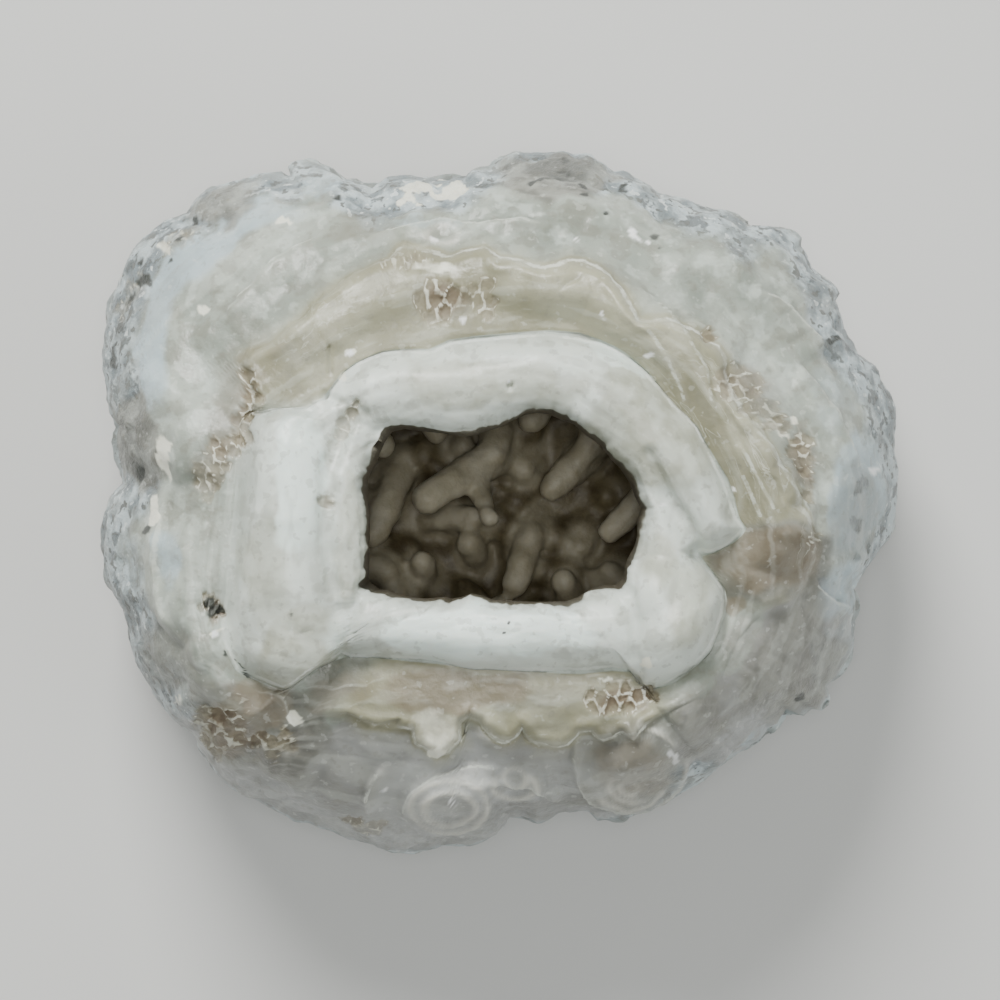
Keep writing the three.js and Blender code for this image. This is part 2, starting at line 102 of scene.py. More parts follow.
# How far outlines are evened out for the walls of the cavity, as an angle in radians.
WALL_SPREAD = 0.3

# How light scatters in the stone of each piece, as settings of its shader.
MILKY = {
    "Subsurface Weight": 0.5,
    "Subsurface Radius": (1.0, 0.94, 0.82),
    "Subsurface Scale": 1.2 * MM,
    "IOR": 1.53,
    "Specular IOR Level": 0.5,
}
# How light scatters in the crust, whose dark brown colour is painted shade.
CRUST_SCATTER = {
    "Subsurface Weight": 0.3,
    "Subsurface Radius": (1.0, 0.85, 0.65),
    "Subsurface Scale": 1.0 * MM,
}

# Studio lights: name, place in metres, turn in degrees, width in metres, power in watts and tint.
LIGHTS = [
    ("key", (-0.12, 0.42, 0.46), (-42, -12, 0), 0.26, 5.4, (1.0, 1.0, 0.97)),
    ("fill", (0.42, -0.18, 0.40), (20, 46, 0), 0.4, 0.9, (0.97, 1.0, 0.99)),
    ("overhead", (0, 0, 0.75), (0, 0, 0), 0.2, 1.5, (1.0, 1.0, 0.97)),
]

OUTER_OUTLINE = [
    (107, 340), (110, 321), (114, 300), (117, 279), (124, 264), (138, 247), (147, 238), (158, 229),
    (172, 222), (188, 215), (198, 201), (211, 191), (230, 185), (260, 178), (281, 173), (288, 177),
    (293, 175), (291, 167), (296, 163), (306, 161), (320, 165), (330, 170), (341, 181), (351, 183),
    (359, 188), (372, 192), (382, 186), (390, 180), (400, 177), (414, 176), (426, 181), (448, 183),
    (467, 178), (473, 172), (490, 169), (501, 160), (514, 153), (546, 152), (562, 152), (575, 156),
    (589, 156), (594, 161), (612, 171), (624, 172), (637, 180), (649, 188), (660, 196), (673, 198),
    (701, 207), (728, 214), (737, 221), (747, 230), (754, 229), (775, 228), (788, 231), (798, 237),
    (800, 241), (796, 246), (803, 254), (810, 270), (822, 276), (832, 285), (837, 292), (832, 299),
    (834, 306), (839, 316), (841, 330), (850, 344), (855, 355), (869, 367), (876, 371), (879, 382),
    (887, 394), (892, 406), (894, 419), (891, 432), (892, 455), (895, 468), (895, 493), (890, 527),
    (886, 538), (876, 551), (864, 568), (854, 581), (850, 589), (853, 600), (853, 646), (846, 661),
    (836, 676), (826, 687), (830, 697), (829, 705), (821, 711), (811, 708), (803, 717), (796, 712),
    (791, 704), (785, 710), (776, 722), (766, 725), (758, 739), (740, 751), (716, 769), (701, 779),
    (683, 789), (665, 801), (645, 807), (634, 810), (623, 818), (611, 820), (597, 820), (590, 811),
    (578, 809), (556, 812), (547, 818), (536, 821), (525, 815), (508, 815), (501, 821), (492, 828),
    (494, 834), (484, 839), (471, 842), (442, 842), (429, 846), (415, 850), (401, 850), (386, 849),
    (371, 844), (354, 840), (337, 830), (324, 827), (313, 819), (296, 817), (280, 810), (263, 802),
    (241, 792), (223, 777), (211, 764), (202, 749), (195, 734), (173, 716), (161, 699), (153, 685),
    (139, 665), (132, 643), (128, 621), (123, 608), (115, 590), (110, 578), (108, 560), (105, 545),
    (105, 532), (108, 515), (112, 501), (118, 492), (126, 485), (123, 474), (120, 455), (118, 440),
    (119, 425), (113, 417), (109, 398), (107, 371), (105, 352),
]
OPENING_OUTLINE = [
    (361, 478), (366, 469), (372, 460), (378, 438), (384, 426), (397, 423), (419, 427), (442, 430),
    (461, 433), (475, 430), (486, 426), (500, 423), (513, 416), (526, 409), (539, 407), (551, 409),
    (564, 415), (578, 420), (587, 430), (598, 437), (607, 445), (616, 458), (625, 467), (635, 482),
    (640, 496), (647, 508), (641, 523), (642, 536), (639, 546), (631, 561), (628, 582), (621, 589),
    (607, 588), (593, 591), (580, 600), (569, 605), (531, 605), (492, 604), (482, 599), (470, 596),
    (462, 600), (450, 603), (442, 600), (424, 602), (404, 600), (386, 595), (372, 593), (360, 585),
    (363, 570), (366, 536), (366, 514), (363, 498),
]
COLLAR_OUTLINE = [
    (241, 440), (235, 490), (229, 550), (226, 592), (219, 636), (237, 671), (256, 680), (272, 686),
    (283, 690), (296, 684), (308, 674), (321, 666), (342, 656), (372, 657), (416, 661), (440, 663),
    (470, 667), (499, 669), (534, 671), (580, 673), (611, 670), (632, 671), (642, 684), (650, 689),
    (662, 687), (674, 682), (687, 673), (699, 660), (708, 650), (718, 630), (724, 614), (726, 601),
    (724, 588), (717, 577), (707, 565), (700, 556), (716, 552), (731, 544), (742, 535), (746, 528),
    (739, 518), (733, 499), (726, 479), (717, 463), (707, 446), (697, 427), (677, 410), (666, 396),
    (657, 384), (647, 372), (636, 363), (624, 353), (614, 347), (598, 340), (579, 334), (549, 331),
    (510, 334), (477, 337), (450, 341), (430, 350), (402, 350), (383, 352), (370, 357), (357, 363),
    (344, 372), (334, 385), (326, 396), (308, 408), (294, 409), (272, 409), (250, 414), (243, 424),
]
TERRACE_OUTLINE = [
    (232, 470), (213, 500), (196, 560), (193, 610), (204, 650), (238, 684), (280, 697), (289, 706),
    (297, 722), (320, 716), (345, 718), (372, 727), (395, 728), (411, 731), (416, 744), (426, 750),
    (436, 757), (447, 755), (454, 747), (463, 742), (461, 735), (462, 722), (470, 719), (480, 722),
    (489, 729), (496, 736), (504, 741), (512, 739), (518, 734), (522, 728), (527, 738), (536, 744),
    (546, 746), (557, 749), (568, 746), (574, 740), (580, 733), (591, 732), (596, 739), (603, 742),
    (614, 739), (622, 734), (628, 737), (634, 741), (639, 736), (645, 726), (668, 712), (716, 690),
    (737, 640), (756, 616), (775, 605), (785, 600), (800, 590), (806, 580), (817, 560), (819, 545),
    (812, 530), (803, 515), (795, 505), (797, 490), (787, 472), (777, 466), (775, 455), (766, 440),
    (761, 427), (747, 416), (737, 402), (731, 388), (722, 358), (709, 342), (694, 330), (672, 320),
    (640, 318), (628, 303), (619, 287), (610, 275), (597, 267), (583, 262), (570, 262), (558, 266),
    (545, 268), (533, 265), (520, 258), (500, 260), (485, 248), (452, 254), (430, 250), (405, 247),
    (398, 250), (388, 260), (375, 265), (360, 272), (340, 282), (325, 290), (312, 301), (302, 317),
    (284, 334), (273, 344), (250, 352), (243, 362), (246, 378), (254, 395), (251, 412), (246, 428),
    (238, 444),
]

# Rolls of the white collar: plan x, plan y, half width in plan units and crest height in millimetres.
ROLLS = {
    "left": [
        (302, 420, 44, 44.4), (292, 455, 54, 45.3), (286, 520, 60, 46), (284, 585, 62, 45.6),
        (285, 640, 58, 44.6),
    ],
    "left_lip": [(352, 440, 20, 43.4), (344, 480, 26, 44.2), (342, 540, 28, 44.4), (345, 592, 24, 43.6)],
    "top": [
        (347, 398, 26, 43.6), (375, 392, 34, 44.4), (420, 388, 42, 44.9), (480, 382, 44, 45.2),
        (540, 371, 42, 45.5), (585, 382, 44, 45.5), (628, 408, 46, 45.3), (660, 440, 42, 45.2),
        (690, 476, 38, 45), (713, 516, 36, 44.6),
    ],
    "right_lip": [(648, 470, 24, 43.2), (664, 520, 27, 43.2), (668, 556, 29, 43.2), (664, 582, 30, 43.6)],
    "bottom": [
        (346, 622, 32, 43.2), (368, 622, 33, 43.8), (400, 628, 36, 44.6), (460, 634, 38, 45),
        (580, 635, 38, 45), (612, 632, 38, 44.8),
    ],
    "corner": [(664, 606, 50, 45.2), (674, 624, 56, 46)],
}

# How far the rind rises to meet the collar: direction in degrees from plan x, counted against the clock,
# and the rise in millimetres.
BANK = [
    (0, 0.4), (12, 1.2), (45, 1.6), (90, 1.6), (125, 1.7), (155, 2.2), (170, 2.5), (195, 2.5),
    (206, 1.4), (214, 0.2), (240, 0.5), (270, 0.9), (300, 0.7), (315, 0.0), (345, 0.0), (360, 0.4),
]

# Arcs where the collar merges into the rind, where there is no terrace and where it is low: first
# direction, last direction and fade in degrees.
MERGED = (152, 202, 8)
NO_TERRACE = (160, 230, 9)
LOW_TERRACE = (308, 342, 8)

# Broad swellings of the rind: plan x, plan y, half width in plan units and rise in millimetres.
SWELLS = {
    "crown": [
        (262, 378, 40, 0.8), (300, 335, 44, 1.4), (350, 300, 46, 1.8), (410, 272, 48, 2.2),
        (490, 264, 46, 2.4), (545, 280, 46, 2.6), (596, 284, 46, 2.8), (636, 322, 46, 2.8),
        (690, 352, 50, 2.6), (724, 404, 50, 2.6), (758, 462, 52, 2.6), (784, 530, 56, 2.6),
        (768, 572, 52, 1.8),
    ],
    "tongue": [(690, 690, 40, 2.2), (680, 730, 46, 3.6), (650, 762, 52, 4.6), (626, 778, 50, 4.6)],
    "bubble": [(440, 812, 44, 3.8), (472, 802, 42, 3.8)],
    "knob": [(806, 700, 26, 3), (818, 702, 24, 3)],
    "left_lobe": [(160, 560, 52, 1.8), (172, 620, 56, 2.4), (222, 720, 60, 2.6), (280, 762, 52, 2)],
    "left_upper_lobe": [(160, 330, 48, 2), (156, 390, 50, 2.2), (166, 450, 50, 2)],
    "top_lobe": [(420, 214, 40, 2.4), (520, 196, 46, 2.2), (590, 198, 44, 2.2)],
    "top_right_lobe": [(690, 252, 44, 2), (760, 262, 46, 2.4)],
    "right_lobe": [(832, 400, 48, 2.2), (852, 480, 50, 2.6), (838, 560, 40, 1.8)],
}

# Incised creases: points of the line, half width in plan units and depth in millimetres.
GROOVES = {
    "left_to_bottom": ([(360, 586), (355, 608), (350, 621), (345, 640), (340, 656)], 10, 0.35),
    "left_to_top": ([(326, 396), (340, 402), (352, 406), (366, 414)], 8, 0.35),
    "left_side": (
        [(352, 404), (349, 419), (336, 449), (326, 466), (323, 500), (326, 540), (334, 590)],
        12, 0.5,
    ),
    "under_tip": ([(697, 549), (689, 530), (676, 512), (662, 492), (650, 455)], 13, 0.6),
    "corner_to_bottom": ([(631, 592), (636, 620), (634, 650), (640, 676)], 9, 0.35),
    "zigzag": ([(289, 451), (298, 432), (308, 413), (324, 422), (327, 438)], 3.2, 0.2),
    "crescent": ([(284, 622), (290, 630), (300, 634), (308, 631)], 3, 0.22),
    "lip_crack": ([(329, 346), (330, 372)], 3.5, 0.4),
    "lower_crack": ([(345, 716), (360, 722), (380, 726), (398, 722)], 4, 0.5),
    "crown_crack": ([(562, 287), (570, 281), (579, 277)], 3, 0.3),
}

# Overlapping growth layers: points of the free edge, rise in millimetres, and the fade behind it in plan
# units. The layer lies on the left of the line as it runs.
LEDGES = {
    "second": (
        [(716, 440), (712, 400), (706, 370), (691, 344), (678, 323), (660, 309), (640, 296), (626, 290)],
        0.35, 18,
    ),
    "third": ([(690, 420), (682, 386), (668, 358), (652, 334), (640, 322)], 0.3, 14),
    "fourth": ([(740, 376), (731, 362), (724, 354), (712, 342)], 0.35, 14),
    "outer": ([(829, 352), (810, 333), (790, 315), (771, 299), (748, 286)], 0.5, 26),
    "fine_a": ([(811, 532), (801, 505), (780, 470), (767, 448), (752, 428), (738, 410)], 0.35, 12),
    "fine_b": ([(778, 520), (771, 502), (760, 482), (747, 456), (736, 440)], 0.15, 8),
    "fine_c": ([(765, 526), (757, 506), (748, 486), (739, 466)], 0.12, 8),
    "lower": (
        [(503, 770), (492, 765), (471, 766), (436, 777), (411, 794), (404, 808), (408, 826)],
        0.4, 22,
    ),
    "wave": ([(470, 790), (500, 782), (527, 783), (548, 794), (562, 800)], 0.6, 16),
    "left_arc": ([(384, 764), (372, 778), (366, 796), (370, 812)], 0.6, 18),
    "right_arc": ([(848, 605), (832, 603), (818, 590), (812, 574)], 0.6, 18),
    "curl": ([(298, 726), (289, 712), (284, 700), (280, 690)], 0.7, 14),
    "left_rim": ([(178, 640), (166, 600), (160, 560), (166, 520), (172, 480)], 0.6, 20),
    "top_fold": ([(560, 226), (520, 222), (480, 226), (440, 222), (400, 232), (360, 240)], 0.6, 22),
    "top_left_fold": ([(330, 236), (300, 250), (268, 270), (240, 300), (222, 330)], 0.7, 26),
    "drop": ([(577, 738), (573, 758), (578, 778), (592, 796), (614, 806), (642, 806), (668, 794)], 0.7, 24),
    "right_fold": ([(860, 470), (846, 440), (832, 410), (812, 384), (790, 362)], 0.6, 24),
}

# Patches of boxwork pits: plan x, plan y, the two radii, turn in degrees, cell size in plan units, depth in
# millimetres.
PIT_PATCHES = {
    "crown_left": (444, 299, 31, 20, 0, 16, 0.6),
    "crown_right": (485, 299, 11, 17, 0, 15, 0.6),
    "hexagon": (708, 333, 8, 9, 0, 18, 0.7),
    "right_upper": (736, 383, 28, 17, 15, 14, 0.6),
    "right_lower": (764, 416, 28, 9, 28, 13, 0.6),
    "right_edge": (803, 462, 9, 40, -8, 13, 0.6),
    "right_foot": (814, 540, 6, 18, 8, 10, 0.5),
    "honeycomb": (620, 697, 36, 18, -4, 15, 0.8),
    "dark_hole": (213, 606, 11, 13, 0, 9, 1.3),
    "lower_left": (222, 726, 24, 26, 20, 14, 0.7),
    "lower_left_tail": (270, 742, 34, 11, 4, 12, 0.8),
    "left_chain": (247, 408, 10, 40, 14, 12, 0.7),
    "left_arm": (228, 442, 24, 10, -30, 11, 0.6),
    "left_middle": (208, 476, 16, 24, 20, 11, 0.55),
    "collar_side": (346, 424, 8, 28, 16, 12, 0.55),
    "collar_pit": (325, 501, 7, 9, 0, 12, 0.6),
    "ledge_crumbs": (406, 262, 24, 8, -10, 7, 0.4),
    "lower_left_rim": (366, 820, 20, 7, 10, 10, 0.6),
    "top_left_rim": (182, 240, 22, 9, -42, 8, 0.4),
    "rim_left": (132, 296, 8, 28, 18, 8, 0.4),
}

# The tables of patches below all have the same form: plan x, plan y, the two radii, turn in degrees and
# how strong. First the darker, smoky zones of the stone, with painted shade under the collar's lower edge.
SMOKE_AND_SHADE = [
    (700, 712, 40, 26, -40, 0.8), (668, 740, 30, 30, -30, 0.6), (742, 636, 20, 50, 24, 0.6),
    (694, 706, 40, 22, -35, 0.8), (450, 806, 28, 15, 0, 0.5), (790, 560, 36, 46, 0, 0.9),
    (548, 176, 70, 26, 4, 1.0), (300, 350, 50, 26, -30, 0.4), (790, 660, 70, 70, 0, 0.8),
    (250, 722, 74, 48, 24, 1.0), (134, 446, 30, 46, 0, 1.0), (630, 765, 60, 48, -20, 0.65),
    # (340, 676) and (520, 697) are painted shade under the collar's lower edge.
    (766, 562, 70, 48, -20, 1.0), (340, 676, 44, 18, -30, 0.6), (520, 697, 120, 28, 0, 0.5),
    (168, 660, 40, 52, -20, 0.6), (330, 775, 60, 30, 16, 0.5), (700, 700, 50, 40, -30, 0.5),
    (225, 205, 50, 22, -18, 0.9), (850, 520, 32, 60, 0, 0.5), (820, 300, 26, 30, 0, 0.4),
    (420, 812, 60, 26, 0, 0.35), (446, 300, 44, 26, 0, 0.5), (746, 392, 40, 28, 30, 0.5),
    (800, 460, 18, 52, -8, 0.6), (236, 400, 26, 54, 8, 0.4), (206, 470, 20, 34, 20, 0.5),
    (540, 770, 50, 26, 0, 0.4),
]

# Bluish, clear parts of the rind.
CLEAR = [
    (770, 745, 70, 26, -35, 0.8), (830, 655, 26, 50, 0, 0.7), (856, 500, 34, 70, 6, 1.0),
    (840, 590, 26, 40, 30, 0.8), (172, 562, 14, 40, 0, 0.8), (834, 400, 30, 40, -20, 0.5),
    (130, 560, 16, 40, 0, 0.5), (812, 244, 30, 16, 20, 0.6), (430, 226, 60, 7, 4, 0.6),
    (320, 190, 18, 18, 0, 0.7),
]

# Parts of the rind that are smooth like glass.
GLASSY = [
    (640, 755, 66, 60, -20, 0.9), (470, 780, 100, 40, 0, 0.8), (440, 806, 60, 40, 0, 0.9),
    (790, 655, 70, 60, 0, 0.9), (500, 700, 150, 26, 0, 0.8), (700, 700, 60, 40, -30, 0.8),
    (180, 300, 30, 60, 0, 0.5), (860, 470, 34, 90, 0, 0.6), (360, 690, 50, 26, 0, 0.7),
    (780, 560, 40, 40, 0, 0.6), (300, 190, 30, 26, 0, 0.6),
]

# Raised growth rings: plan x, plan y, the two radii, height in millimetres and how far the upper half
# shows.
RINGS = [
    (450, 808, 26, 16, 0.35, 1.0), (450, 806, 37, 25, 0.3, 0.8), (630, 787, 9, 5, 0.12, 0.3),
    (630, 785, 19, 11, 0.14, 0.0), (629, 783, 31, 20, 0.18, 0.0), (515, 776, 10, 8, 0.25, 0.6),
    (445, 238, 16, 8, 0.2, 0.3), (513, 784, 22, 14, 0.18, 0.0), (629, 768, 54, 42, 0.3, 0.0),
]

# The grey, glassy part at the lower right.
LOWER_RIGHT = [
    (800, 660, 66, 84, 0, 1.0), (730, 712, 60, 50, -30, 1.0),
]

# Where thin growth lines show.
LAYERED = [
    (735, 430, 50, 120, -35, 1.0), (320, 320, 60, 30, -30, 0.6),
]

# Cream crusts and crumbs.
CREAM = [
    (166, 459, 7, 23, 0, 1), (158, 509, 7, 16, 0, 1), (416, 194, 20, 5, 0, 1), (448, 192, 24, 4, -8, 1),
    (281, 224, 20, 4, -8, 1), (437, 728, 27, 20, 0, 0.45), (434, 752, 8, 6, 0, 0.9),
    (215, 630, 9, 7, 0, 1), (332, 504, 5, 6, 0, 0.6), (354, 356, 8, 5, 0, 1), (345, 375, 6, 5, 0, 0.7),
    (645, 668, 8, 6, 0, 1), (205, 314, 8, 6, 0, 0.8), (436, 266, 34, 7, 6, 0.6),
    (170, 250, 6, 6, 0, 0.8), (612, 678, 34, 3, 0, 0.7), (790, 417, 6, 5, 0, 0.9),
    (293, 722, 6, 5, 10, 0.9), (775, 430, 24, 4, 45, 0.7), (180, 700, 6, 8, 0, 0.6),
]

# Brown stains, and painted shade under the collar's lower edge.
STAINS_AND_SHADE = [
    # (480, 692), (256, 694) and (345, 690) are painted shade under the collar's lower edge.
    (762, 560, 54, 38, -15, 0.9), (480, 692, 120, 22, 0, 0.75), (630, 772, 48, 34, 0, 0.5),
    (622, 697, 34, 16, 0, 0.8), (446, 299, 30, 18, 0, 0.6), (256, 694, 36, 22, 20, 0.8),
    (345, 690, 44, 16, -10, 0.5), (216, 612, 12, 16, 0, 0.9), (740, 384, 30, 18, 15, 0.5),
    (800, 462, 10, 40, -8, 0.5), (228, 726, 34, 30, 20, 0.6), (232, 420, 24, 60, 0, 0.5),
    (252, 345, 44, 40, -30, 0.4), (350, 232, 50, 16, -6, 0.45), (560, 300, 50, 20, 0, 0.2),
    (738, 604, 9, 12, 0, 0.8), (345, 240, 16, 8, 0, 0.5), (320, 470, 8, 30, 0, 0.3),
]

# Dark specks of the stone, and painted shade in its holes and cracks.
DARK = [
    (548, 172, 54, 12, 4, 0.5), (228, 200, 40, 14, -22, 0.4), (128, 300, 12, 50, 12, 0.4),
    (112, 540, 8, 60, 0, 0.3), (142, 282, 7, 5, 0, 1), (125, 301, 5, 6, 0, 1), (140, 264, 5, 5, 0, 1),
    (172, 262, 5, 5, 0, 1), (184, 242, 8, 4, -30, 1), (195, 225, 7, 5, 0, 1), (151, 532, 6, 6, 0, 1),
    (160, 619, 12, 18, 0, 0.6), (135, 471, 9, 13, 0, 0.7), (505, 178, 9, 3, -20, 1),
    (540, 185, 9, 4, 0, 1), (586, 192, 8, 4, 30, 1), (601, 212, 7, 3, 30, 1), (339, 199, 6, 4, 0, 1),
    (653, 236, 7, 5, 0, 0.7), (662, 248, 5, 4, 0, 0.7), (857, 483, 6, 9, 10, 0.6),
    # From (208, 598) to (246, 676): painted shade in the hole and in the crevice at the collar's edge.
    (855, 525, 6, 9, 20, 0.6), (832, 340, 5, 5, 0, 0.9), (208, 598, 8, 6, 20, 1),
    (240, 668, 24, 3, 38, 0.9), (213, 609, 14, 10, 10, 1), (228, 654, 4, 10, -20, 1),
    (246, 676, 12, 3, 30, 0.9), (799, 700, 7, 6, 0, 1), (130, 620, 6, 10, 0, 0.5),
    (118, 360, 5, 14, 0, 0.9), (113, 390, 4, 8, 0, 0.7), (128, 330, 6, 8, 0, 0.7),
    (432, 618, 2, 2, 0, 1), (505, 633, 2, 2, 0, 1), (510, 622, 2, 2, 0, 0.8), (292, 620, 5, 2, 20, 0.7),
    (560, 170, 10, 4, 10, 0.8), (480, 190, 8, 3, -20, 0.8), (620, 196, 7, 3, 30, 0.8),
    (350, 185, 6, 4, 0, 0.6),
]

# Warmer parts of the white collar.
WARM = [
    (665, 450, 62, 84, -35, 1.0), (490, 384, 130, 30, 0, 0.7), (352, 520, 14, 90, 0, 0.6),
    (290, 656, 60, 36, -20, 1.0), (262, 570, 26, 90, 0, 0.6), (690, 610, 44, 60, 0, 0.7),
    (660, 560, 30, 50, 0, 0.7),
]

# Painted sheen: bands along the left and bottom rolls, painted whiter where the soft light gleams on them.
PAINTED_SHEEN = [
    (490, 634, 150, 28, 0, 1.0), (300, 480, 32, 74, 0, 1.0), (420, 366, 60, 12, 0, 0.2),
    (600, 350, 60, 8, 28, 0.6),
]

# Painted glints: small white spots painted where tiny crystals sparkle in the light.
PAINTED_GLINTS = [
    (434, 239, 4, 3, 0, 1), (578, 242, 3, 3, 0, 1), (633, 239, 6, 3, 0, 1), (643, 243, 4, 3, 0, 1),
    (602, 315, 3, 3, 0, 0.8), (645, 352, 5, 3, 0, 1), (736, 489, 4, 3, 0, 1), (871, 470, 6, 6, 0, 1),
    (463, 318, 4, 3, 0, 0.8), (452, 798, 3, 3, 0, 1), (677, 756, 4, 4, 0, 0.7), (216, 632, 4, 4, 0, 1),
    (660, 505, 3, 3, 0, 0.7), (387, 788, 3, 3, 0, 0.8), (352, 358, 5, 4, 0, 1), (510, 383, 2, 2, 0, 1),
]

# The cavity wall from the lip down: height, and how far it lies from the lip towards the widest outline.
CAVITY_WALL = [(37.4, -0.02), (34, 0.14), (30.4, 0.38), (24, 0.52), (15, 0.45)]
CAVITY_FLOOR = [(10, 0.82), (8, 0.45)]

# The outside below the widest level: height, and share of the widest outline's radius.
FLANK = [(0, BASE_SHARE), (0.9, 0.67), (3.2, 0.81), (7, 0.92), (12, 0.985), (WIDEST_Z, 1.0)]

# Fingers: points from root to tip as plan x, plan y, height and radius.
FINGERS = [
    [(505, 450, 12, 2.0), (474, 468, 15.5, 1.8), (446, 486, 17.6, 1.6), (426, 498, 18.5, 1.55)],
    [(472, 470, 12.5, 1.3), (481, 494, 17, 1.05), (490, 518, 20, 0.95)],
    [(405, 522, 9, 1.5), (440, 520, 12, 1.2), (478, 516, 13.5, 1.2)],
    [(497, 405, 11, 2.0), (495, 434, 14, 1.6), (493, 454, 15.5, 1.5)],
    [(404, 462, 11, 2.0), (388, 500, 14, 1.6), (374, 534, 15.5, 1.4)],
    [(590, 450, 11, 2.2), (566, 474, 14, 1.7), (550, 490, 15, 1.3)],
    [(545, 496, 8, 1.8), (530, 540, 13, 1.5), (515, 584, 15, 1.45)],
    [(432, 592, 8, 1.6), (422, 562, 15, 1.2)],
    [(662, 478, 14, 1.9), (634, 508, 15.5, 1.5), (611, 532, 15.5, 1.2)],
    [(582, 628, 9, 1.8), (572, 602, 13, 1.5), (564, 582, 15.5, 1.3)],
    [(484, 574, 8, 1.6), (471, 543, 13.5, 1.4)],
    [(556, 383, 13, 1.9), (540, 408, 15.5, 1.5), (533, 420, 16, 1.5)],
    [(340, 560, 12, 1.8), (366, 567, 14, 1.5), (386, 572, 14.5, 1.3)],
    [(642, 602, 12, 1.8), (622, 584, 13.5, 1.4), (608, 573, 13.5, 1.2)],
    [(420, 395, 13, 1.8), (430, 418, 15, 1.4), (436, 430, 15, 1.3)],
    [(350, 428, 15, 1.8), (370, 438, 17, 1.5), (383, 445, 17.5, 1.3)],
    [(690, 520, 19, 1.8), (668, 515, 20.5, 1.3), (653, 512, 20.5, 1.1)],
    [(500, 652, 12, 1.8), (499, 622, 14, 1.5), (498, 608, 14.5, 1.3)],
    [(600, 410, 13, 1.9), (590, 440, 14.5, 1.5), (584, 452, 14.5, 1.4)],
    [(380, 618, 13, 1.7), (396, 596, 14.5, 1.4)],
    [(540, 440, 9, 1.7), (524, 470, 12.5, 1.4)],
    [(450, 470, 8, 1.7), (462, 448, 12, 1.4)],
    [(590, 520, 8, 1.8), (580, 548, 12, 1.3)],
    [(360, 500, 13, 1.7), (380, 512, 13.5, 1.2)],
]


def clamp01(value):
    return np.clip(value, 0.0, 1.0)


def smooth(low, high, value):
    t = clamp01((value - low) / (high - low))
    return t * t * (3 - 2 * t)


def lerp(a, b, t):
    return a + (b - a) * t


def hash01(ix, iy, iz, seed):
    """A repeatable number from 0 to 1 for each lattice point."""
    mask = np.uint64(0xFFFFFFFF)
    h = ix.astype(np.int64) * 374761393 + iy.astype(np.int64) * 668265263
    h = h + iz.astype(np.int64) * 1440662683 + seed * 974634777
    h = h.astype(np.uint64) & mask
    h = ((h ^ (h >> np.uint64(13))) * np.uint64(1274126177)) & mask
    return ((h ^ (h >> np.uint64(16))) & mask).astype(np.float64) / 4294967296.0


def value_noise(points, cell, seed):
    """Smooth noise from -1 to 1."""
    q = points / cell
    base = np.floor(q)
    f = q - base
    f = f * f * f * (f * (f * 6 - 15) + 10)
    total = np.zeros(points.shape[:-1])
    for dx in (0, 1):
        for dy in (0, 1):
            for dz in (0, 1):
                weight = (
                    np.where(dx, f[..., 0], 1 - f[..., 0])
                    * np.where(dy, f[..., 1], 1 - f[..., 1])
                    * np.where(dz, f[..., 2], 1 - f[..., 2])
                )
                total += weight * hash01(base[..., 0] + dx, base[..., 1] + dy, base[..., 2] + dz, seed)
    return total * 2 - 1


def fractal(points, cell, seed, octaves=4, gain=0.5):
    total = np.zeros(points.shape[:-1])
    weight = 1.0
    for octave in range(octaves):
        total += weight * value_noise(points, cell / 2**octave, seed + octave)
        weight *= gain
    return total


def bumps(points, cell, seed):
    """Rounded bumps with creases between them, from -1 to 1."""
    q = points / cell
    base = np.floor(q)
    nearest = np.full(points.shape[:-1], np.inf)
    for ox in (-1, 0, 1):
        for oy in (-1, 0, 1):
            for oz in (-1, 0, 1):
                ix, iy, iz = base[..., 0] + ox, base[..., 1] + oy, base[..., 2] + oz
                dx = ix + hash01(ix, iy, iz, seed) - q[..., 0]
                dy = iy + hash01(ix, iy, iz, seed + 1) - q[..., 1]
                dz = iz + hash01(ix, iy, iz, seed + 2) - q[..., 2]
                nearest = np.minimum(nearest, dx * dx + dy * dy + dz * dz)
    return 1 - 2 * np.minimum(nearest, 1)


def plan_unit(z):
    """The size in millimetres of one plan unit at a height."""
    return (EYE_Z - z) / EYE_TO_PLAN


def from_plan(x, y, z):
    """Plan coordinates and a height in millimetres to a point in millimetres."""
    unit = plan_unit(z)
    return np.stack([(x - PLAN_ORIGIN[0]) * unit, (PLAN_ORIGIN[1] - y) * unit, z + 0 * x], axis=-1)


def to_plan(points):
    scale = EYE_TO_PLAN / (EYE_Z - points[..., 2])
    return PLAN_ORIGIN[0] + points[..., 0] * scale, PLAN_ORIGIN[1] - points[..., 1] * scale


# A point of the upright axis that all rings go round, in millimetres.
MIDDLE = from_plan(*AXIS, WIDEST_Z)


def outline_radius(outline, angle):
    """Distance in plan units from the axis to the outline, in the direction of each angle."""
    c, s = np.cos(angle), -np.sin(angle)
    radius = np.zeros_like(angle)
    for (x0, y0), (x1, y1) in zip(outline, outline[1:] + outline[:1]):
        ax, ay, ex, ey = x0 - AXIS[0], y0 - AXIS[1], x1 - x0, y1 - y0
        turn = c * ey - s * ex
        turn = np.where(np.abs(turn) < 1e-9, 1e-9, turn)
        along = (ax * ey - ay * ex) / turn
        share = (ax * s - ay * c) / turn
        hit = (along > 0) & (share >= 0) & (share <= 1)
        radius = np.where(hit, np.maximum(radius, along), radius)
    return radius


def smooth_radius(outline, angle, spread):
    offsets = (-1, -0.6, -0.2, 0.2, 0.6, 1)
    return sum(outline_radius(outline, angle + o * spread) for o in offsets) / len(offsets)


def along_segment(a, b, x, y):
    ex, ey = b[0] - a[0], b[1] - a[1]
    share = clamp01(((x - a[0]) * ex + (y - a[1]) * ey) / (ex * ex + ey * ey))
    return share, np.hypot(x - a[0] - share * ex, y - a[1] - share * ey)


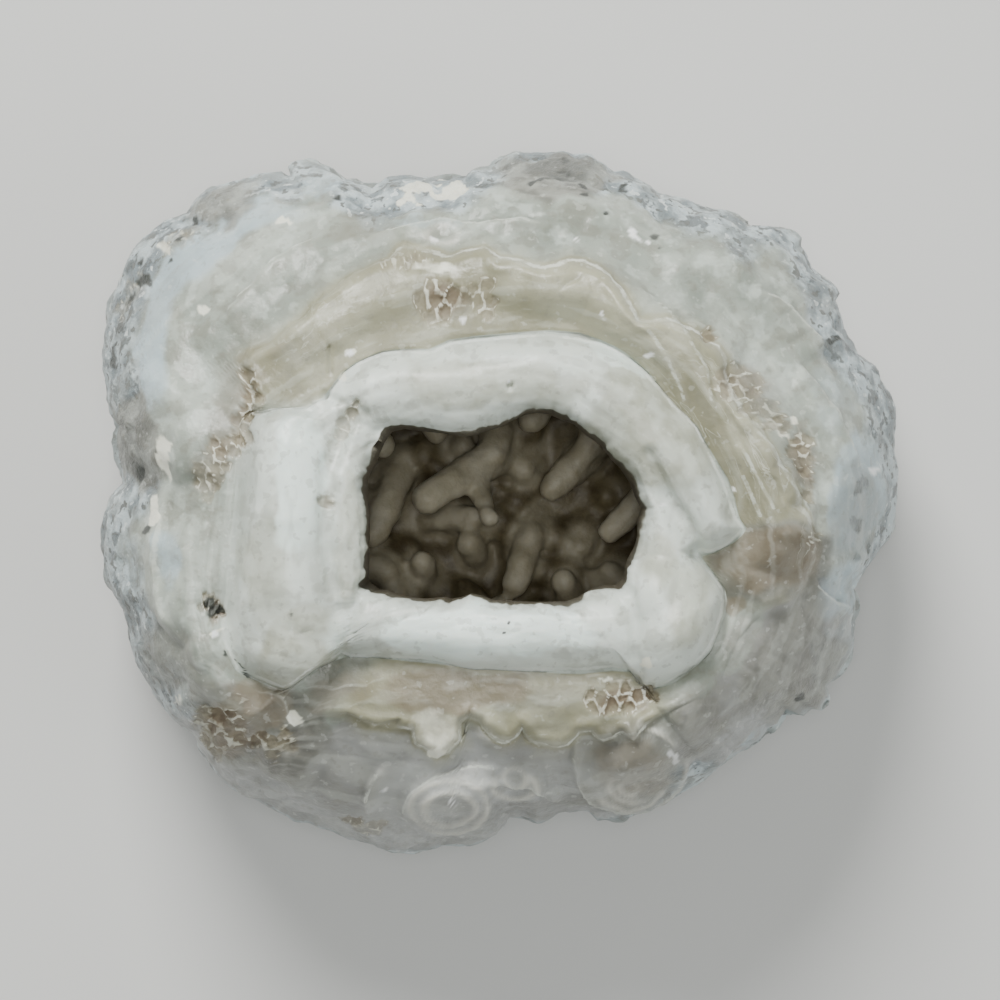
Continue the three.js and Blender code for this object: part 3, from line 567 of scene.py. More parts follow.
def path_distance(path, x, y):
    distance = np.full(x.shape, np.inf)
    for a, b in zip(path, path[1:]):
        distance = np.minimum(distance, along_segment(a, b, x, y)[1])
    return distance


def depth_inside(outline, x, y):
    """Distance to the outline inside it, and a negative one outside."""
    inside = np.zeros(x.shape, bool)
    closed = outline + outline[:1]
    for a, b in zip(closed, closed[1:]):
        if a[1] != b[1]:
            crosses = (a[1] > y) != (b[1] > y)
            inside ^= crosses & (x < a[0] + (b[0] - a[0]) * (y - a[1]) / (b[1] - a[1]))
    distance = path_distance(closed, x, y)
    return np.where(inside, distance, -distance)


def rounded_edge(depth, width):
    rest = 1 - clamp01(depth / width)
    return np.sqrt(1 - rest * rest)


def ellipse(x, y, cx, cy, rx, ry, turn=0.0):
    """Scaled distance from an ellipse's middle: 1 on its edge."""
    c, s = math.cos(math.radians(turn)), math.sin(math.radians(turn))
    dx, dy = x - cx, y - cy
    return np.hypot((dx * c + dy * s) / rx, (dy * c - dx * s) / ry)


def roll_height(path, x, y):
    height = np.full(x.shape, -np.inf)
    for a, b in zip(path, path[1:]):
        share, distance = along_segment(a, b, x, y)
        half = lerp(a[2], b[2], share)
        sag = 0.5 * half * WIDTH / PLAN_WIDTH
        height = np.maximum(height, lerp(a[3], b[3], share) - sag * np.minimum((distance / half) ** 2, 2))
    return height


def swell_rise(path, x, y):
    rise = np.zeros(x.shape)
    for a, b in zip(path, path[1:]):
        share, distance = along_segment(a, b, x, y)
        fade = 1 - np.minimum(distance / lerp(a[2], b[2], share), 1) ** 2
        rise = np.maximum(rise, lerp(a[3], b[3], share) * fade * fade)
    return rise


def smooth_max(a, b, width):
    overlap = np.maximum(1 - np.abs(a - b) / width, 0)
    return np.maximum(a, b) + overlap * overlap * width / 4


def groove_depth(x, y):
    depth = np.zeros(x.shape)
    for path, half, deep in GROOVES.values():
        fade = 1 - np.minimum(path_distance(path, x, y) / half, 1)
        depth = np.maximum(depth, deep * fade * fade * (3 - 2 * fade))
    return depth


def ledge_rise(x, y):
    """Layers that end in a free edge: steep in front of the line, fading out gently behind it. The second
    value is the distance to the nearest of these edges."""
    rise = np.zeros(x.shape)
    to_edge = np.full(x.shape, FAR)
    front = 3.0
    for path, high, fade in LEDGES.values():
        nearest = np.full(x.shape, np.inf)
        side = np.zeros(x.shape)
        end = np.zeros(x.shape)
        for i, (a, b) in enumerate(zip(path, path[1:])):
            share, distance = along_segment(a, b, x, y)
            cross = (b[0] - a[0]) * (y - a[1]) - (b[1] - a[1]) * (x - a[0])
            closer = distance < nearest
            nearest = np.where(closer, distance, nearest)
            side = np.where(closer, -np.sign(cross), side)
            end = np.where(closer, (i + share) / (len(path) - 1), end)
        behind = side > 0
        shape = np.where(behind, 1 - smooth(0, fade, nearest), 1 - smooth(0, front, nearest))
        tips = smooth(0, 0.15, end) * (1 - smooth(0.85, 1, end))
        rise = np.maximum(rise, high * shape * tips)
        to_edge = np.minimum(to_edge, nearest + FAR * (1 - tips))
    return rise, to_edge


def pit_fields(x, y):
    """Depth of the boxwork pits in millimetres, distance from their walls as a share of a cell, and where
    they lie."""
    depth = np.zeros(x.shape)
    ribs = np.ones(x.shape)
    zone = np.zeros(x.shape)
    rng = np.random.default_rng(41)
    for cx, cy, rx, ry, turn, cell, deep in PIT_PATCHES.values():
        reach = max(rx, ry) + cell
        near = (np.abs(x - cx) < reach) & (np.abs(y - cy) < reach)
        steps = np.arange(-math.ceil(reach / cell), math.ceil(reach / cell) + 1)
        gx, gy = np.meshgrid(steps * cell, steps * cell * 0.87)
        gx = gx + (np.arange(len(steps)) % 2)[:, None] * cell / 2
        gx = gx + rng.uniform(-0.38, 0.38, gx.shape) * cell + cx
        gy = gy + rng.uniform(-0.38, 0.38, gy.shape) * cell + cy
        level = rng.uniform(0.3, 1.0, gx.size)
        px, py = x[near], y[near]
        first = np.full(px.shape, np.inf)
        second = np.full(px.shape, np.inf)
        owner = np.zeros(px.shape, int)
        for k, (sx, sy) in enumerate(zip(gx.ravel(), gy.ravel())):
            d = np.hypot(px - sx, py - sy)
            closer = d < first
            second = np.where(closer, first, np.minimum(second, d))
            owner = np.where(closer, k, owner)
            first = np.where(closer, d, first)
        reached = ellipse(gx.ravel(), gy.ravel(), cx, cy, rx, ry, turn)[owner]
        inside = 1 - smooth(0.9, 1.15, reached)
        rib = (second - first) / cell
        hollow = smooth(0.03, 0.25, rib) * inside
        depth[near] = np.maximum(depth[near], hollow * deep * level[owner])
        ribs[near] = np.where(inside > zone[near], rib, ribs[near])
        zone[near] = np.maximum(zone[near], inside * (0.4 + 0.6 * level[owner]) * min(1, deep / 0.7))
    return depth, np.minimum(ribs, 1), zone


def rind_height(x, y, share, terraced):
    """Height of the rind outside the collar, before its fine detail."""
    round_top = WIDEST_Z + (SHOULDER_Z - WIDEST_Z) * np.sqrt(1 - clamp01(share) ** 2.2)
    rise = sum(swell_rise(path, x, y) for path in SWELLS.values())
    inside = depth_inside(TERRACE_OUTLINE, x, y)
    terrace = TERRACE_RISE * rounded_edge(inside, 9) + 0.5 * np.exp(-((inside - 7) / 7) ** 2)
    return round_top + (rise + terrace * terraced) * np.minimum(1, 4 * (1 - share))


def collar_height(x, y, from_lip, from_edge, bank):
    back = np.zeros(x.shape)
    for path in ROLLS.values():
        back = smooth_max(back, roll_height(path, x, y), 0.5)
    lip = LIP_DROP * (1 - rounded_edge(from_lip, 12))
    edge = COLLAR_DROP * (1 - 0.32 * bank) * (1 - rounded_edge(from_edge, 30))
    return back - lip - edge


def bank_rise(angle):
    return np.interp(np.degrees(angle) % 360, [a for a, _ in BANK], [rise for _, rise in BANK])


def outside_arc(angle, arc):
    """0 within an arc of directions, 1 outside it."""
    first, last, fade = arc
    degrees = np.degrees(angle) % 360
    before = 1 - smooth(first - fade, first + fade, degrees)
    return np.maximum(before, smooth(last - fade, last + fade, degrees))


def rows_of(count, shape=lambda t: t):
    return [shape(i / (count - 1)) for i in range(count)]


def between(rows, place):
    """The values of a table at a place counted in its rows."""
    return [float(np.interp(place, range(len(rows)), column)) for column in zip(*rows)]


def steps_along(rows, count):
    """The values of a table at even places from its first row to its last."""
    return [between(rows, place) for place in rows_of(count, lambda t: t * (len(rows) - 1))]


def circle(count):
    return np.arange(count) * 2 * math.pi / count


def ring_at(angle, reach, z):
    """A level ring round the axis, from its distance and its height in millimetres."""
    x = MIDDLE[0] + reach * np.cos(angle)
    y = MIDDLE[1] + reach * np.sin(angle)
    return np.stack([x, y, z + 0 * angle], -1)


def push_out(ring, angle, amount):
    ring[:, 0] += amount * np.cos(angle)
    ring[:, 1] += amount * np.sin(angle)


def drawn_in(ring, share, z):
    """A copy of a ring, nearer to the axis and at another height."""
    copy = MIDDLE + (ring - MIDDLE) * share
    copy[:, 2] = z
    return copy


def flank_rows(angle):
    """The outside from the base's middle up to the widest level."""
    mean = smooth_radius(OUTER_OUTLINE, angle, 0.12)
    shown = outline_radius(OUTER_OUTLINE, angle)
    heights, shares = np.array(FLANK).T
    travel = np.concatenate([[0], np.cumsum(np.hypot(np.diff(heights), np.diff(shares) * WIDTH / 2))])
    places = [(0.0, BASE_SHARE * (i + 1) / BASE_ROWS) for i in range(BASE_ROWS - 1)]
    for t in rows_of(FLANK_ROWS + 2)[:-1]:
        here = t * travel[-1]
        places.append((float(np.interp(here, travel, heights)), float(np.interp(here, travel, shares))))
    rings = []
    for z, share in places:
        reach = share * lerp(mean, shown, (z / WIDEST_Z) ** 2) * plan_unit(WIDEST_Z)
        ring = ring_at(angle, reach, z)
        push_out(ring, angle, FLANK_CREASE * (bumps(ring, 9, 5) - 1) * min(z / 2, 1))
        rings.append(ring)
    return rings


def top_rows(angle):
    """The shoulder, the terrace and the collar, from the widest level in to the lip."""
    lip = outline_radius(OPENING_OUTLINE, angle)
    on_lip = np.stack([lip * np.cos(angle), lip * np.sin(angle), 0 * angle], -1)
    lip = lip + LIP_CHIP * fractal(on_lip, 14, 201, 3)
    edge = outline_radius(COLLAR_OUTLINE, angle)
    foot = edge + 2
    bank = bank_rise(angle)
    terrace = np.maximum(smooth_radius(TERRACE_OUTLINE, angle, 0.012), foot + 2)
    rim = outline_radius(OUTER_OUTLINE, angle)
    soft_rim = smooth_radius(OUTER_OUTLINE, angle, 0.05)
    even_rim = smooth_radius(OUTER_OUTLINE, angle, 0.2)
    rings = []
    for t in rows_of(SHOULDER_ROWS, lambda u: math.sin((1 - u) * math.pi / 2)):
        reach = lerp(terrace + 2, lerp(soft_rim, rim, t**3), t)
        rings.append((reach, False, (reach - foot) / (lerp(even_rim, rim, t**8) - foot)))
    for t in rows_of(TERRACE_ROWS, lambda u: 1 - u):
        reach = lerp(foot, terrace, t)
        rings.append((reach, False, (reach - foot) / (even_rim - foot)))
    for t in rows_of(COLLAR_ROWS, lambda u: 0.5 + 0.5 * math.cos(math.pi * u)):
        rings.append((lerp(lip, edge, t), True, 0 * edge))
    reach = np.array([ring[0] for ring in rings])
    on_collar = np.array([ring[1] for ring in rings])
    share = np.array([ring[2] for ring in rings])
    x = AXIS[0] + reach * np.cos(angle)
    y = AXIS[1] - reach * np.sin(angle)
    terraced = outside_arc(angle, NO_TERRACE) * lerp(0.1, 1, outside_arc(angle, LOW_TERRACE))
    rind = rind_height(x, y, share, terraced)
    collar = collar_height(x, y, reach - lip, edge - reach, bank)
    rind = rind + bank * (1 - smooth(0, 90, reach - foot)) - FOOT_RECESS * (1 - smooth(0, 60, reach - foot))
    crease = 0.15 * outside_arc(angle, MERGED)
    collar = smooth_max(collar, rind - crease, 1.3)
    merged = (1 - outside_arc(angle, MERGED)) * (1 - smooth(0, 22, edge - reach))
    z = np.where(on_collar[:, None], lerp(collar, rind, merged), rind)
    return from_plan(x, y, z)


def wall_rows(angle):
    """The cavity wall from under the lip down to the floor."""
    lip = outline_radius(OPENING_OUTLINE, angle)
    soft_lip = smooth_radius(OPENING_OUTLINE, angle, WALL_SPREAD)
    outer = smooth_radius(OUTER_OUTLINE, angle, WALL_SPREAD)
    rings = []
    for z, share in steps_along(CAVITY_WALL, WALL_ROWS):
        blur = 1 - float(clamp01((z - 30) / 10))
        reach = lerp(lerp(lip, soft_lip, blur), outer, share) * plan_unit(z)
        rings.append(ring_at(angle, reach, z))
    foot = rings[-1]
    return rings + [drawn_in(foot, share, z) for z, share in CAVITY_FLOOR]


def grid_normals(grid):
    around = np.roll(grid, -1, axis=1) - np.roll(grid, 1, axis=1)
    across = np.gradient(grid, axis=0)
    normal = np.cross(around, across)
    return normal / np.maximum(np.linalg.norm(normal, axis=-1, keepdims=True), 1e-9)


def add_object(name, data):
    made = bpy.data.objects.new(name, data)
    bpy.context.scene.collection.objects.link(made)
    return made


def set_mask(mesh, name, values):
    attribute = mesh.attributes.new(name, "FLOAT", "POINT")
    attribute.data.foreach_set("value", values.astype(np.float32))


def closed_mesh(name, first_z, grid, last_z, masks):
    """A mesh through rings that go round the axis, closed by a point on the axis at each end, with the
    values of the masks at every point."""
    rows, count = grid.shape[:2]
    ends = [[(*MIDDLE[:2], z)] for z in (first_z, last_z)]
    points = np.concatenate([ends[0], grid.reshape(-1, 3), ends[1]]) * MM

    def at(i, j):
        return 1 + i * count + (j % count)

    faces = [(0, at(0, j + 1), at(0, j)) for j in range(count)]
    for i in range(rows - 1):
        faces += [(at(i, j), at(i, j + 1), at(i + 1, j + 1), at(i + 1, j)) for j in range(count)]
    last = len(points) - 1
    faces += [(last, at(rows - 1, j), at(rows - 1, j + 1)) for j in range(count)]
    mesh = bpy.data.meshes.new(name)
    mesh.from_pydata(points.tolist(), [], faces)
    mesh.polygons.foreach_set("use_smooth", [True] * len(mesh.polygons))
    for mask_name, values in masks.items():
        set_mask(mesh, mask_name, np.concatenate([[values[0, 0]], values.ravel(), [values[-1, 0]]]))
    mesh.update()
    return add_object(name, mesh)


def patches(x, y, relief, table, low, high):
    """Soft blotches from a table of patches: the share is 1 inside the low limit and 0 past the high one."""
    total = np.zeros(x.shape)
    for cx, cy, rx, ry, turn, amount in table:
        near = 1 - smooth(low, high, ellipse(x, y, cx, cy, rx, ry, turn) + relief * 0.35)
        total = np.maximum(total, amount * near)
    return total


def survey(grid, first_top, first_wall):
    """What relief and masks need to know of each point of the nodule: its place in the plan, how deep it
    lies inside each outline, the part of the surface it is on, and two broad noises."""
    angle = circle(ANGLES)
    row = np.arange(len(grid))[:, None] + np.zeros((1, ANGLES))
    x, y = to_plan(grid)
    flat = grid * FLATTENED
    on_collar = (row >= first_wall - COLLAR_ROWS).astype(float)
    inner = smooth(first_wall - 5, first_wall + 1, row)
    away = np.hypot(x - AXIS[0], y - AXIS[1]) - smooth_radius(COLLAR_OUTLINE, angle, 0.22)
    bent = away / 7 + 0.9 * fractal(flat, 9.0, 181, 2)
    around = np.stack([bent, 4.5 * np.cos(angle) + 0 * x, 4.5 * np.sin(angle) + 0 * x], -1)
    return SimpleNamespace(
        points=grid,
        flat=flat,
        x=x,
        y=y,
        angle=angle + 0 * x,
        flank=row < first_top,
        on_top=((row >= first_top) & (row < first_wall)).astype(float),
        outside=1 - on_collar,
        collar=on_collar * (1 - inner),
        inner=inner,
        rim_depth=depth_inside(OUTER_OUTLINE, x, y),
        shelf=depth_inside(TERRACE_OUTLINE, x, y),
        sheet=depth_inside(COLLAR_OUTLINE, x, y),
        coarse=fractal(flat, 6.0, 3, 3),
        streak=fractal(around, 1.0, 191, 4),
    )


def skin_relief(s):
    """Lumps, grains and streaks of the rind and soft waves of the collar, in millimetres."""
    calm = smooth(-6, 14, s.shelf) * 0.7 * s.on_top
    glassy = np.maximum(calm, patches(s.x, s.y, s.coarse, GLASSY, 0.7, 1.2))
    granular = np.where(s.on_top > 0, 1 - smooth(8, 42, s.rim_depth), 0.8) * (1 - 0.6 * glassy)
    lumps = 0.5 * bumps(s.flat, 5.5, 17) + 0.24 * fractal(s.flat, 3.2, 9, 3)
    grains = 0.26 * bumps(s.flat, 1.6, 29) + 0.16 * bumps(s.flat, 0.8, 33)
    streaks = 0.08 * s.streak + 0.07 * fractal(s.flat, 1.4, 51, 2)
    waves = 0.28 * fractal(s.flat, 7.0, 61, 2) + 0.06 * s.streak + 0.03 * fractal(s.flat, 1.8, 71, 3)
    rind = (1 - glassy) * lumps + granular * grains + s.on_top * (1 - 0.6 * glassy) * streaks
    return s.outside * rind + s.collar * waves + s.flank * 1.1 * bumps(s.points, 5.0, 19)


def streak_relief(s):
    """Fine parallel streaks on the left roll, on the right tip and on the rind beside it, and one small
    dimple in the top roll, in millimetres."""
    left = s.collar * (1 - smooth(8, 20, np.abs(s.x - 350))) * smooth(480, 520, s.y)
    tip = s.collar * (1 - smooth(0.6, 1.1, ellipse(s.x, s.y, 664, 482, 24, 50, -25)))
    beside = s.outside * (1 - smooth(0.6, 1.1, ellipse(s.x, s.y, 766, 480, 30, 80, -24)))
    dimple = s.collar * (1 - smooth(0.5, 1.1, ellipse(s.x, s.y, 510, 386, 4.5, 4.5)))
    return (
        left * 0.07 * np.sin(s.x * 1.1 + 2 * s.coarse)
        + tip * 0.07 * np.sin((s.x - 0.45 * s.y) * 0.9 + 2 * s.coarse)
        + beside * 0.05 * np.sin((s.x - 0.5 * s.y) * 0.7 + 4 * s.coarse)
        - dimple * 0.5
    )


def growth_rings(s):
    """How high the growth rings stand in millimetres, and where they show, from 0 to 1."""
    lift = np.zeros(s.x.shape)
    rings = np.zeros(s.x.shape)
    broken = fractal(s.flat, 4.0, 211, 2)
    for cx, cy, rx, ry, high, upper in RINGS:
        off_ring = (ellipse(s.x + 4 * s.coarse, s.y + 2 * s.coarse, cx, cy, rx, ry) - 1) * min(rx, ry)
        shown = np.maximum(upper, smooth(-0.7, 0.5, (s.y - cy) / ry + 1.4 * broken))
        lift += high * shown * np.exp(-(off_ring / 3.0) ** 2)
        rings = np.maximum(rings, shown * np.exp(-(off_ring / 2.0) ** 2))
    return lift * s.on_top, rings * s.on_top * s.outside


def nodule_masks(s, z):
    """Where each colour of the nodule lies, from 0 to 1, and the distances that its thin lines follow."""
    wander = s.coarse * 10
    x = s.x + 6 * fractal(s.flat, 2.0, 131, 3)
    y = s.y + 6 * fractal(s.flat, 2.0, 151, 3)
    on_top = s.on_top * smooth(16, 23, z)
    outside = on_top * s.outside

    def spots(rows, low, high):
        return patches(x, y, s.coarse, rows, low, high)

    no_terrace = outside_arc(s.angle, NO_TERRACE)
    stepped = lerp(0.25, 1, outside_arc(s.angle, LOW_TERRACE))
    hem = outside_arc(s.angle, MERGED)
    lower = smooth(700, 740, y + wander) * (1 - smooth(600, 720, x)) * (1 - smooth(-4, 4, s.shelf))
    lower = np.maximum(lower, spots(LOWER_RIGHT, 0.7, 1.15))
    terrace = lerp(0.45 * smooth(-34, 0, s.shelf), 1, smooth(-5, 3, s.shelf))
    recess = stepped * terrace * (1 - smooth(-3, 3, s.sheet)) * no_terrace
    # painted shade: a band of rind just outside the collar's edge, darkened where the collar shades it
    foot = recess * (1 - smooth(0, 34, -s.sheet)) * (1 - smooth(0.8, 2.0, bank_rise(s.angle)))
    from_rim = s.rim_depth + wander
    band = smooth(22, 34, from_rim) * (1 - smooth(44, 70, from_rim))
    clear = spots(CLEAR, 0.6, 1.2)
    blue = np.maximum(band * smooth(0, 160, 600 - 1.2 * x - 0.8 * y), 0.8 * clear)
    rim = (1 - smooth(10, 46, from_rim)) * (1 - 0.7 * clear)
    soft = 1.5 + 24 * (1 - hem)
    # where the terrace crest gets its thin bright line of painted highlight
    upper_crest = smooth(-60, 120, 0.7 * x - y)
    lower_crest = smooth(700, 720, y) * smooth(395, 410, x) * (1 - smooth(640, 660, x))
    crest = (upper_crest + lower_crest) * no_terrace * stepped
    return {
        "collar": smooth(-soft, soft, s.sheet) * (1 - s.inner) * on_top,
        "rim": lerp(0.58, rim, on_top),
        "lower": lower * outside,
        "recess": recess * outside,
        # painted shade at the collar's foot
        "foot": foot * outside,
        "layered": spots(LAYERED, 0.7, 1.2) * recess * outside,
        "crest": np.minimum(crest, 1) * outside,
        "warm": spots(WARM, 0.5, 1.2) * s.collar,
        # painted sheen on the left and bottom rolls
        "painted_sheen": spots(PAINTED_SHEEN, 0.5, 1.2) * s.collar,
        "blue": blue * outside,
        "cream": spots(CREAM, 0.6, 1.15) * on_top,
        # smoky stone, and painted shade under the collar's lower edge
        "smoke_and_shade": spots(SMOKE_AND_SHADE, 0.5, 1.3) * outside,
        # brown stains, and painted shade under the collar's lower edge
        "stain_and_shade": spots(STAINS_AND_SHADE, 0.55, 1.25) * on_top,
        "dark": spots(DARK, 0.4, 1.2) * on_top * smooth(19, 26, z),
        # painted glints where tiny crystals sparkle
        "painted_glint": patches(x, y, 0 * s.coarse, PAINTED_GLINTS, 0.7, 1.1) * on_top,
        "shelf": np.clip(s.shelf, -FAR, FAR),
        "sheet": np.clip(s.sheet, -FAR, FAR),
        # where the collar's lower edge gets its thin bright line of painted highlight
        "hem": hem * on_top,
        # the cavity wall, which the material paints dark brown as painted shade
        "inner": s.inner,
        "streak": s.streak,
    }


def make_nodule():
    angle = circle(ANGLES)
    flank, top, wall = flank_rows(angle), top_rows(angle), wall_rows(angle)
    grid = np.concatenate([np.array(flank), top, np.array(wall)])
    s = survey(grid, len(flank), len(flank) + len(top))

    bend_x, bend_y = (1.6 * fractal(s.flat, 1.4, seed, 2) for seed in (111, 121))
    pits, ribs, zone = pit_fields(s.x + bend_x, s.y + bend_y)
    ledges, fold = ledge_rise(s.x, s.y)
    ring_lift, rings = growth_rings(s)
    crumbs = 0.25 * zone * (1 - smooth(0.04, 0.16, ribs)) * np.maximum(fractal(s.flat, 0.9, 171, 2), 0)
    lift = skin_relief(s) + streak_relief(s) + ring_lift
    lift += s.on_top * (ledges * s.outside - groove_depth(s.x, s.y) - 0.6 * pits + crumbs)

    keep_outline = 0.6 + 0.4 * smooth(0, 12, np.where(s.on_top > 0, s.rim_depth, 30))
    base_fade = np.where(s.flank, smooth(0.2, 3, grid[..., 2]), 1)
    grid = grid + grid_normals(grid) * (lift * keep_outline * base_fade)[..., None]
    grid[..., 2] = np.maximum(grid[..., 2], 0)

    masks = nodule_masks(s, grid[..., 2])
    masks["rib"] = ribs
    masks["pits"] = zone * s.on_top
    masks["edge"] = np.minimum(ledges / 0.5, 1) * s.on_top * s.outside
    masks["fold"] = fold
    masks["ring"] = rings
    return closed_mesh("chalcedony_nodule", 0, grid, FLOOR_Z, masks)


class Nodes:
    """A short way to write a material's node graph."""

    def __init__(self, name):
        self.material = bpy.data.materials.new(name)
        self.material.use_nodes = True
        self.tree = self.material.node_tree
        self.tree.nodes.clear()
        self.out = self.node("ShaderNodeOutputMaterial")
        flatten = self.node("ShaderNodeVectorMath", operation="MULTIPLY")
        self.put(flatten.inputs[0], self.node("ShaderNodeTexCoord").outputs["Object"])
        flatten.inputs[1].default_value = FLATTENED
        self.flat = flatten.outputs[0]

    def node(self, kind, **settings):
        made = self.tree.nodes.new(kind)
        for key, value in settings.items():
            setattr(made, key, value)
        return made

    def put(self, socket, value):
        if isinstance(value, bpy.types.NodeSocket):
            self.tree.links.new(value, socket)
        else:
            socket.default_value = value

    def mask(self, name):
        return self.node("ShaderNodeAttribute", attribute_name=name).outputs["Fac"]

    def noise(self, cell_mm, detail=4.0, rough=0.55):
        made = self.node("ShaderNodeTexNoise")
        self.put(made.inputs["Vector"], self.flat)
        made.inputs["Scale"].default_value = 1 / (cell_mm * MM)
        made.inputs["Detail"].default_value = detail
        made.inputs["Roughness"].default_value = rough
        return made.outputs["Fac"]

    def math(self, operation, a, b=0.0):
        made = self.node("ShaderNodeMath", operation=operation)
        self.put(made.inputs[0], a)
        self.put(made.inputs[1], b)
        return made.outputs[0]

    def ramp(self, value, low, high, to_low=0.0, to_high=1.0):
        made = self.node("ShaderNodeMapRange", interpolation_type="SMOOTHSTEP")
        self.put(made.inputs["Value"], value)
        made.inputs["From Min"].default_value = low
        made.inputs["From Max"].default_value = high
        made.inputs["To Min"].default_value = to_low
        made.inputs["To Max"].default_value = to_high
        return made.outputs["Result"]

    def mix(self, amount, a, b):
        made = self.node("ShaderNodeMix", data_type="RGBA")
        self.put(made.inputs["Factor"], amount)
        self.put(made.inputs["A"], a)
        self.put(made.inputs["B"], b)
        return made.outputs["Result"]

    def part(self, share, value):
        return self.math("MULTIPLY", value, share)

    def shade(self, value, low, high, first, second):
        """A colour that goes from one to another as a value rises."""
        return self.mix(self.ramp(value, low, high), colour(*first), colour(*second))

    def layers(self, tone, rows):
        """Colours laid over a tone, one after another: how strong, where, and the colour."""
        for share, where, over in rows:
            if not isinstance(over, bpy.types.NodeSocket):
                over = colour(*over)
            tone = self.mix(self.part(share, where), tone, over)
        return tone

    def finish(self, tone, rough, settings, height=None, bump_mm=0.0, strength=0.0):
        """The finished material: a shader with its colour, roughness, other settings and bump."""
        shader = self.node("ShaderNodeBsdfPrincipled")
        for key, value in settings.items():
            shader.inputs[key].default_value = value
        self.put(shader.inputs["Base Color"], tone)
        self.put(shader.inputs["Roughness"], rough)
        if height is not None:
            bump = self.node("ShaderNodeBump")
            self.put(bump.inputs["Height"], height)
            bump.inputs["Distance"].default_value = bump_mm * MM
            bump.inputs["Strength"].default_value = strength
            self.put(shader.inputs["Normal"], bump.outputs["Normal"])
        self.put(self.out.inputs["Surface"], shader.outputs["BSDF"])
        return self.material


def colour(red, green, blue):
    """An sRGB colour from 0 to 255 as a linear one."""
    linear = [((c / 255 + 0.055) / 1.055) ** 2.4 if c > 10 else c / 3295 for c in (red, green, blue)]
    return (*linear, 1.0)


